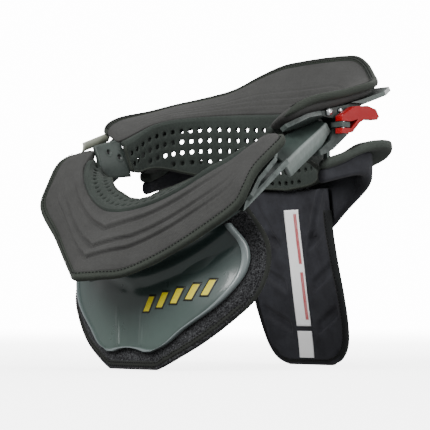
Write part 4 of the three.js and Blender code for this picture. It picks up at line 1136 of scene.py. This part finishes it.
def back_strut():
    front, back = [], []
    rows = [0] + list(np.linspace(0.01, 0.99, 84)) + [1]
    columns = [-1] + list(np.linspace(-0.99, 0.99, 58)) + [1]
    for t in rows:
        line, under = [], []
        for s in columns:
            x, z = strut_place(s, t)
            y = strut_surface(x, z)
            border = max(max(0, (abs(s) - 0.93) / 0.07), max(0, (0.035 - t) / 0.035))
            round_off = 2.6 * border ** 2
            relief = slanted_recess(x, z) * ease(0.9, 0.84, abs(s))
            line.append((x, y - STRUT_FACE - relief + round_off, z))
            under.append((x * 0.79, y + STRUT_FACE - round_off, z))
        front.append(line)
        back.append(under)
    strut = slab("back_strut", front, back)
    subdivide(strut, 1)
    keep_above(strut, 0.0)
    dress(strut, BACK_FOAM, "rear")
    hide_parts("back_pad")

    path = [(-1, t) for t in np.linspace(0.9, 0.0, 70)] + [(s, 0) for s in np.linspace(-0.96, 0.96, 30)]
    path += [(1, t) for t in np.linspace(0.0, 0.9, 70)]
    line = []
    for s, t in path:
        x, z = strut_place(s, t)
        line.append((x, strut_surface(x, z), z))
    line = resample(line, 2.0)
    centre = np.array([0, 0, 62.0])
    section = [(5.0, -6.9), (2.6, -7.0), (0.6, -5.6), (-0.5, -3.0), (-0.7, 0), (-0.5, 3.0), (0.6, 5.6),
               (2.6, 6.9), (5.0, 6.9), (5.0, 5.5), (1.6, 4.4), (1.0, 0), (1.6, -4.4), (5.0, -5.6)]
    rings, seam = [], []
    for point, (t, _, _) in zip(line, frames_along(line, BACKWARD)):
        inward = centre - point
        inward[1] = 0
        inward = unit(inward - t * (inward @ t))
        level = 10.0 * abs(inward[0])
        rings.append([point + inward * (a + level * ease(-4.5, 6.5, b)) + BACKWARD * b for a, b in section])
        stitch = point + inward * 3.8 - BACKWARD * 7.05
        if stitch[2] > 3:
            seam.append(stitch)
    binding = swept("strut_binding", rings)
    keep_above(binding, 0.0)
    dress(binding, BACK_BINDING, "rear")
    row = stitches("strut_stitches_1", seam, -BACKWARD, pitch=2.6)
    dress(row, DARK_THREAD, "rear")


class Wing:
    """A place along the wings, from -1 on the wearer's right round the back to 1 on the left."""

    def __init__(self, at):
        def where(k):
            b = min(1, abs(k))
            x = math.copysign(1, k) * along(WING_ROWS, "x", b) * WING_HALF
            return np.array([x, along(WING_ROWS, "y", b) * WING_REACH, 0])

        a = abs(at)
        tangent = unit(where(min(1, at + 0.02)) - where(max(-1, at - 0.02)))
        self.foot = where(at)
        self.outward = np.array([-tangent[1], tangent[0], 0])
        self.low = along(WING_ROWS, "low", a) * WING_TOP
        self.high = along(WING_ROWS, "high", a) * WING_TOP
        self.over = along(WING_ROWS, "over", a) * RIM_OVER

    def point(self, n, z):
        p = self.foot + self.outward * n
        return np.array([p[0], p[1], z])


def wings():
    rings, rim_rings, hem_lines = [], [], [[], []]
    for k in range(WING_STATIONS + 1):
        at = 2 * k / WING_STATIONS - 1
        w = Wing(at)
        end = math.sqrt(max(0.05, 1 - max(0, (abs(at) - 0.975) / 0.025) ** 2))
        low, high = w.low + 3 * (1 - end), w.high
        ring = []
        for i in range(WING_STEPS + 1):
            share = i / WING_STEPS
            z = lerp(low + 3, high - 1, share)
            # a crease falls from under the rim down to the outer edge of each wing
            line = (abs(at) - (0.36 + 0.24 * (1 - share))) * 60
            dent = -1.4 * bell(line, 1.7) + 0.7 * bell(line - 5, 3.5)
            slits = 0.0
            for place in (0.18, 0.42):
                reach = ease(0.2, 0.35, share) * ease(0.95, 0.8, share)
                slits -= 1.2 * bell((abs(at) - place) * 60, 0.9) * reach
            soft = 0.5 * math.sin(math.pi * share)
            ring.append(w.point((-4.0 - soft - dent * 0.6 - slits) * end, z))
        ring.append(w.point(-2.4 * end, high + 1.4))
        ring.append(w.point(4.0 * end, high + 1.4))
        for i in range(WING_STEPS, -1, -1):
            share = i / WING_STEPS
            z = lerp(low + 3, high - 1, share)
            ring.append(w.point((4.2 + 0.3 * math.sin(math.pi * share)) * end, z))
        ring.append(w.point(1.8 * end, low + 0.5))
        ring.append(w.point(-1.8 * end, low + 0.5))
        rings.append(ring)

        bottom = high + 0.3
        top = bottom + 8.0
        o = w.over
        profile = [
            (-3.6, bottom), (4.2, bottom), (4.6 + o, bottom + 2.0), (5.6 + o, bottom + 3.6),
            (5.9 + o, bottom + 5.6), (5.2 + o, top + 0.9), (4.2 + o, top + 1.25),
            (4.2 + o * 0.86, top + 0.75),
            (3.8 + o * 0.8, top + 0.75), (3.4 + o * 0.7, top + 1.15), (3.4 + o * 0.6, top + 0.7),
            (3.2 + o * 0.5, top + 0.6), (2.6 + o * 0.25, top + 0.4), (1.0, top + 0.1), (-2.6, top - 0.4),
            (-4.1, top - 2.0), (-4.5, bottom + 3.0), (-4.3, bottom + 1.2),
        ]
        mid_n, mid_z = (o + 0.5) / 2, bottom + 4
        rim_rings.append([w.point(lerp(mid_n, n, end), lerp(mid_z, z, end)) for n, z in profile])
        if abs(at) < 0.97:
            hem_lines[0].append(w.point(3.9 + o * 0.83, top + 0.8))
            hem_lines[1].append(w.point(3.4 + o * 0.58, top + 0.75))
    body = swept("back_wings", rings)
    subdivide(body, 1)
    dress(body, BACK_FOAM, "rear")
    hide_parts("back_pad")
    rim = swept("wing_edge", rim_rings)
    subdivide(rim, 1)
    dress(rim, RIM_CLOTH, "rear")
    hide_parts("wing_rim")
    for number, line in enumerate(hem_lines):
        row = stitches(f"wing_stitches_{number + 1}", np.array(line), (0, 0, 1.0), pitch=2.6)
        dress(row, DARK_THREAD, "rear")


def patches():
    """Blank printed tapes on the strut: a little lifted at their edges; the long one has two faded bars."""
    look = Look("tape", roughness=0.55, specular=0.4)
    u = look.attribute("across")
    v = look.attribute("up")
    fibre = look.noise(look.scaled(look.place, (1, 1, 0.4)), 1100, 3, 0.6)
    stain = look.noise(look.place, 90, 5, 0.65)
    rubbed = look.noise(look.scaled(look.place, (3, 1, 0.6)), 260, 5, 0.75)
    paper = look.mix(look.ramp(stain, 0.35, 0.8), srgb(255, 255, 255), srgb(250, 250, 249))
    centre = look.math("SUBTRACT", 0.62, look.math("MULTIPLY", v, 0.16))
    off = look.math("ABSOLUTE", look.math("SUBTRACT", u, centre))
    stripe = look.ramp(off, 0.2, 0.26, 1, 0)
    bars = look.math("MULTIPLY", look.ramp(v, 0.05, 0.06), look.ramp(v, 0.46, 0.47, 1, 0))
    second = look.math("MULTIPLY", look.ramp(v, 0.53, 0.54), look.ramp(v, 0.96, 0.97, 1, 0))
    ink = look.math("MULTIPLY", stripe, look.math("ADD", bars, second, clamp=True))
    ink = look.math("MULTIPLY", ink, look.attribute("printed"))
    ink = look.math("MULTIPLY", ink, look.ramp(rubbed, 0.3, 0.7, 1.0, 0.7))
    colour = look.mix(ink, paper, srgb(178, 18, 32))
    material = look.finish(colour, look.bump(fibre, 0.00005, 0.5), look.ramp(stain, 0.3, 0.8, 0.45, 0.68))
    tapes = (("long_tape", "long_patch", 32, 127, 1.0), ("short_tape", "short_patch", 6, 28, 0.0))
    for name, node, low, high, printed in tapes:
        front, back, across, up, mark = [], [], [], [], []
        for t in np.linspace(0, 1, 60):
            line, under = [], []
            for s in np.linspace(-1, 1, 13):
                x, z = s * 8, lerp(low, high, t)
                y = strut_surface(x, z) - STRUT_FACE - slanted_recess(x, z)
                lift = 0.25 * max(0, abs(s) - 0.7) ** 2
                line.append((x, y - 0.75 - lift, z))
                under.append((x, y - 0.15, z))
            front.append(line)
            back.append(under)
            across.append(list(np.linspace(-1, 1, 13)))
            up.append([t] * 13)
            mark.append([printed] * 13)
        tape = slab(name, front, back, dict(across=across, up=up, printed=mark))
        dress(tape, material, "rear")
        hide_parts(node)


back_strut()
wings()
patches()


# Mouldings and metal
def softened(node, name, material, body, width=0.5, angle=28, segments=2):
    """A finer copy of a moulding: its edges rounded as a mould leaves them, its curved faces smooth."""
    mesh = nodes[node].data.copy()
    obj = bpy.data.objects.new(name, mesh)
    bpy.context.scene.collection.objects.link(obj)
    bm = bmesh.new()
    bm.from_mesh(mesh)
    bmesh.ops.remove_doubles(bm, verts=bm.verts, dist=0.00002)
    bmesh.ops.dissolve_limit(bm, angle_limit=math.radians(4), verts=bm.verts, edges=bm.edges)
    bm.to_mesh(mesh)
    bm.free()
    mesh.polygons.foreach_set("use_smooth", [True] * len(mesh.polygons))
    bevel = obj.modifiers.new("mould_edge", "BEVEL")
    bevel.width = width * MM
    bevel.segments = segments
    bevel.limit_method = "ANGLE"
    bevel.angle_limit = math.radians(angle)
    bevel.use_clamp_overlap = True
    weighted = obj.modifiers.new("even", "WEIGHTED_NORMAL")
    weighted.keep_sharp = True
    apply_all(obj)
    dress(obj, material, body)
    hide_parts(node)


softened("front_frame", "front_chassis", FRAME_PLASTIC, "front")
softened("rear_frame", "rear_chassis", REAR_PLASTIC, "rear")
softened("hinge_link", "hinge_arm", FRAME_PLASTIC, "rear", width=0.6)
softened("release_lever", "lever", LEVER_PLASTIC, "lever", width=1.0, segments=3)


def latch_arm():
    """The latch's broad plate: a dark convex cover that rises inwards over a paler skirt."""
    # x across the neck, height square to the rail's plane, and how much of the paler skirt shows
    section = [
        (107.0, -10.6, 1), (107.0, -6.0, 1), (107.0, -1.5, 1), (106.7, 0.4, 1), (106.1, 1.4, 0.7),
        (105.2, 2.6, 0), (103.6, 4.6, 0), (101.4, 6.9, 0), (98.8, 8.9, 0), (96.2, 10.3, 0), (93.8, 11.2, 0),
        (91.9, 11.6, 0.25), (91.1, 11.0, 0.4), (91.0, 9.6, 0), (91.2, 4.0, 0), (91.3, -1.5, 0),
        (92.2, -2.3, 0), (98.0, -2.4, 0), (103.6, -2.6, 0), (104.0, -4.0, 0), (104.0, -10.4, 1),
        (105.5, -10.9, 1),
    ]
    square = unit(np.array([0, -0.60182, 0.79864]))
    rings, skirts = [], []
    steps = 34
    for k in range(steps + 1):
        t = k / steps
        centre = lerp(np.array([0, -17.8, 152.3]), np.array([0, 26.8, 185.6]), t)
        rise = lerp(1.0, 0.42, ease(0.2, 1.0, t))
        slim = 1 - 0.1 * ease(0.0, 0.14, 0.14 - t)
        teeth = 0.6 * ease(0.86, 0.9, t) * (k % 2)
        ring = []
        for x, h, _ in section:
            h = h * (rise if h > 0 else lerp(1.0, 0.72, ease(0.7, 1.0, t)))
            x = 107 - (107 - x) * slim - (teeth if x > 100 else 0)
            ring.append(np.array([x, 0, 0]) + centre + square * h)
        rings.append(ring)
        skirts.append([c for _, _, c in section])
    arm = swept("latch_arm", rings, dict(skirt=skirts))
    look = Look("latch_plastic", roughness=0.4, specular=0.45, coat=0.1, coat_roughness=0.25)
    marks = look.noise(look.scaled(look.place, (1, 1, 0.35)), 60, 4, 0.6, 0.3)
    spark = look.noise(look.place, 2600, 2, 0.7)
    scuffs = look.noise(look.scaled(look.place, (1, 3, 1)), 150, 5, 0.7)
    cover = look.mix(look.ramp(marks, 0.3, 0.8), srgb(34, 43, 40), srgb(58, 69, 65))
    skirt = look.mix(look.ramp(scuffs, 0.3, 0.8), srgb(118, 127, 124), srgb(96, 106, 102))
    colour = look.mix(look.ramp(look.attribute("skirt"), 0.35, 0.75), cover, skirt)
    material = look.finish(colour, look.bump(spark, 0.00004, 0.5), look.ramp(scuffs, 0.3, 0.8, 0.34, 0.54))
    dress(arm, material, "front")
    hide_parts("latch_link")


def bridge(piece):
    """Bakes a piece's placement into its mesh; the ends of its span over the hinge are worked out but not
    used.
    """
    start, end = ((-100 * MM, (y + SHIFT_Y) * MM, 168 * MM) for y in (-30, -12))
    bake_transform(piece)
    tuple(start)
    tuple(end)


def hinge_cover():
    """The dark plate with two sunk fixings that closes the hinge's side, and the pale band above it."""
    low = (np.array([-89.0, -29.5, 150.5]), np.array([-82.8, -2.5, 153.5]))
    high = (np.array([-94.3, -32.5, 177.5]), np.array([-88.5, -11.5, 184.0]))
    holes = ((0.42, 0.74), (0.74, 0.56))
    front, back, sunk = [], [], []
    for v in np.linspace(0, 1, 46):
        line, under, dark = [], [], []
        for u in np.linspace(0, 1, 46):
            p = lerp(lerp(low[0], low[1], u), lerp(high[0], high[1], u), v)
            edge = max(abs(2 * u - 1), abs(2 * v - 1))
            bulge = 2.6 * math.sin(math.pi * v) ** 0.8 - 0.9 * ease(0.93, 1.0, edge)
            pit = 0.0
            for hu, hv in holes:
                off = math.hypot((u - hu) * 27, (v - hv) * 27)
                pit = max(pit, ease(2.0, 1.3, off))
                bulge += 0.35 * bell(off - 2.7, 0.7)
            line.append(p + np.array([bulge - 1.7 * pit, 0, 0]))
            under.append(p + np.array([bulge * 0.6 - 2.6, 0, 0]))
            dark.append(pit)
        front.append(line)
        back.append(under)
        sunk.append(dark)
    cover = slab("hinge_cover", front, back, dict(sunk=sunk))
    look = Look("hinge_plastic", roughness=0.5, specular=0.35)
    marks = look.noise(look.place, 90, 4, 0.6, 0.3)
    spark = look.noise(look.place, 2400, 2, 0.7)
    colour = look.mix(look.ramp(marks, 0.3, 0.8), srgb(44, 51, 48), srgb(66, 74, 70))
    # painted shade: the two sunk pits are coloured almost black
    colour = look.mix(look.attribute("sunk"), colour, srgb(4, 5, 5))
    material = look.finish(colour, look.bump(spark, 0.00005, 0.5), look.ramp(marks, 0.3, 0.8, 0.42, 0.62))
    dress(cover, material, None)
    bridge(cover)

    start, stop = np.array([-113.5, -29.0, 177.8]), np.array([-105.0, -9.0, 187.0])
    side = unit(np.array([0.25, -0.1, 1.0]))
    top, foot = [], []
    for u in np.linspace(0, 1, 16):
        over, under = [], []
        for v in np.linspace(-1, 1, 12):
            p = lerp(start, stop, u) + side * 3.8 * v + np.array([1.0 - 1.2 * v * v, 0, 0])
            over.append(p + np.array([0.9 - 0.5 * ease(0.85, 1.0, abs(v)), 0, 0]))
            under.append(p - np.array([0.9, 0, 0]))
        top.append(over)
        foot.append(under)
    band = slab("hinge_band", top, foot)
    dress(band, BAND_PLASTIC, None)
    bridge(band)


latch_arm()
hinge_cover()


def rivet(node, name):
    """A rivet's head turned finely from the size of its CAD node."""
    low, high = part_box(node)
    centre = (low + high) / 2
    radius = (high.z - low.z) / 2 / MM
    tall = (high.x - low.x) / MM
    profile = [(0, radius), (0.12, radius), (0.3, radius * 0.985), (0.5, radius * 0.93),
               (0.68, radius * 0.82), (0.84, radius * 0.62), (0.95, radius * 0.34),
               (0.985, radius * 0.16), (0.93, radius * 0.12), (0.92, 0.05)]
    rings = []
    for h, r in profile:
        ring = []
        for k in range(28):
            turn = 2 * math.pi * k / 28
            y, z = centre.y / MM - SHIFT_Y + r * math.cos(turn), centre.z / MM + r * math.sin(turn)
            ring.append((low.x / MM + h * tall, y, z))
        rings.append(ring)
    head = swept(name, rings)
    dress(head, CHROME, "rear")
    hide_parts(node)


rivet("rivet_large", "large_rivet_head")
rivet("rivet_small", "small_rivet_head")
softened("hinge_pin", "hinge_axle", CHROME, "rear", width=0.35, angle=35)
softened("lever_pin", "lever_axle", CHROME, "rear", width=0.25, angle=35)


# Floor, light and camera: the floor's glow, the world's strength and the lamps' watts
GLOW, WORLD_LIGHT = 14.0, 0.4
LAMPS = (44, 30, 8, 12)
VIEW_TURN, LENS, LENS_SHIFT, CAMERA_PLACE = 47, 160.5, (0.0265, 0.216), (1.09703, -1.02857, 0.047)


def studio():
    """A pale sheet that runs flat under the object and curves up far behind it, brightest at the back."""
    turn = math.radians(VIEW_TURN)
    view = Vector((-math.sin(turn), math.cos(turn), 0))
    right = Vector((math.cos(turn), math.sin(turn), 0))
    rows = [(d, 0.0) for d in (-16.0, -8.0, -3.0, -1.0, 0.0, 1.0, 2.0, 3.0)]
    for k in range(1, 17):
        bow = math.pi / 2 * k / 16
        rows.append((3.0 + 1.4 * math.sin(bow), 1.4 * (1 - math.cos(bow))))
    rows.append((4.4, 4.5))
    verts, faces, glow = [], [], []
    sides = [-16, -10, -7] + list(np.linspace(-4.5, 4.5, 19)) + [7, 10, 16]
    for d, z in rows:
        for side in sides:
            p = view * d + right * side
            verts.append((p.x, p.y, z))
            glow.append(0.3 + 0.7 * ease(0.1, 3.0, d) * ease(2.6, 0.9, abs(side)) * ease(3.4, 1.6, z))
    n = len(sides)
    for k in range(len(rows) - 1):
        for i in range(n - 1):
            c = k * n + i
            faces.append((c, c + 1, c + n + 1, c + n))
    mesh = bpy.data.meshes.new("studio_floor")
    mesh.from_pydata(verts, [], faces)
    mesh.attributes.new("glow", "FLOAT", "POINT").data.foreach_set("value", np.array(glow, np.float32))
    mesh.polygons.foreach_set("use_smooth", [True] * len(mesh.polygons))
    floor = bpy.data.objects.new("studio_floor", mesh)
    bpy.context.scene.collection.objects.link(floor)
    look = Look("studio_paper", roughness=0.9, specular=0.1)
    grain = look.noise(look.place, 60, 3)
    look.put((1, 1, 1, 1), look.shader.inputs["Emission Color"])
    look.put(look.math("MULTIPLY", look.attribute("glow"), GLOW), look.shader.inputs["Emission Strength"])
    floor.data.materials.append(look.finish(look.mix(grain, (0.88, 0.88, 0.88), (0.92, 0.92, 0.92))))
    floor.visible_diffuse = False
    floor.visible_glossy = False

    world = bpy.data.worlds.new("studio")
    bpy.context.scene.world = world
    world.use_nodes = True
    world.node_tree.nodes["Background"].inputs["Color"].default_value = (1.0, 1.0, 1.0, 1)
    world.node_tree.nodes["Background"].inputs["Strength"].default_value = WORLD_LIGHT

    middle = Vector((0, 0, 0.12))

    def lamp(name, place, size, power):
        light = bpy.data.lights.new(name, "AREA")
        light.shape = "RECTANGLE"
        light.size, light.size_y = size
        light.energy = power
        obj = bpy.data.objects.new(name, light)
        bpy.context.scene.collection.objects.link(obj)
        obj.location = place
        obj.rotation_euler = (middle - place).to_track_quat("-Z", "Y").to_euler()

    lamp("key", right * -1.0 - view * 1.2 + Vector((0, 0, 1.1)), (0.9, 0.9), LAMPS[0])
    lamp("fill", right * 1.6 - view * 0.9 + Vector((0, 0, 0.8)), (1.0, 1.4), LAMPS[1])
    lamp("top", Vector((0, 0, 1.9)) + view * 0.3, (1.2, 1.2), LAMPS[2])
    lamp("rim", view * 1.0 + right * 0.9 + Vector((0, 0, 1.0)), (0.8, 1.2), LAMPS[3])

    camera = bpy.data.cameras.new("camera")
    camera.sensor_width = 36
    camera.lens = LENS
    camera.shift_x, camera.shift_y = LENS_SHIFT
    camera.clip_start, camera.clip_end = 0.05, 50
    obj = bpy.data.objects.new("camera", camera)
    bpy.context.scene.collection.objects.link(obj)
    obj.location = CAMERA_PLACE
    obj.rotation_euler = (math.radians(90), 0, turn)
    bpy.context.scene.camera = obj


studio()
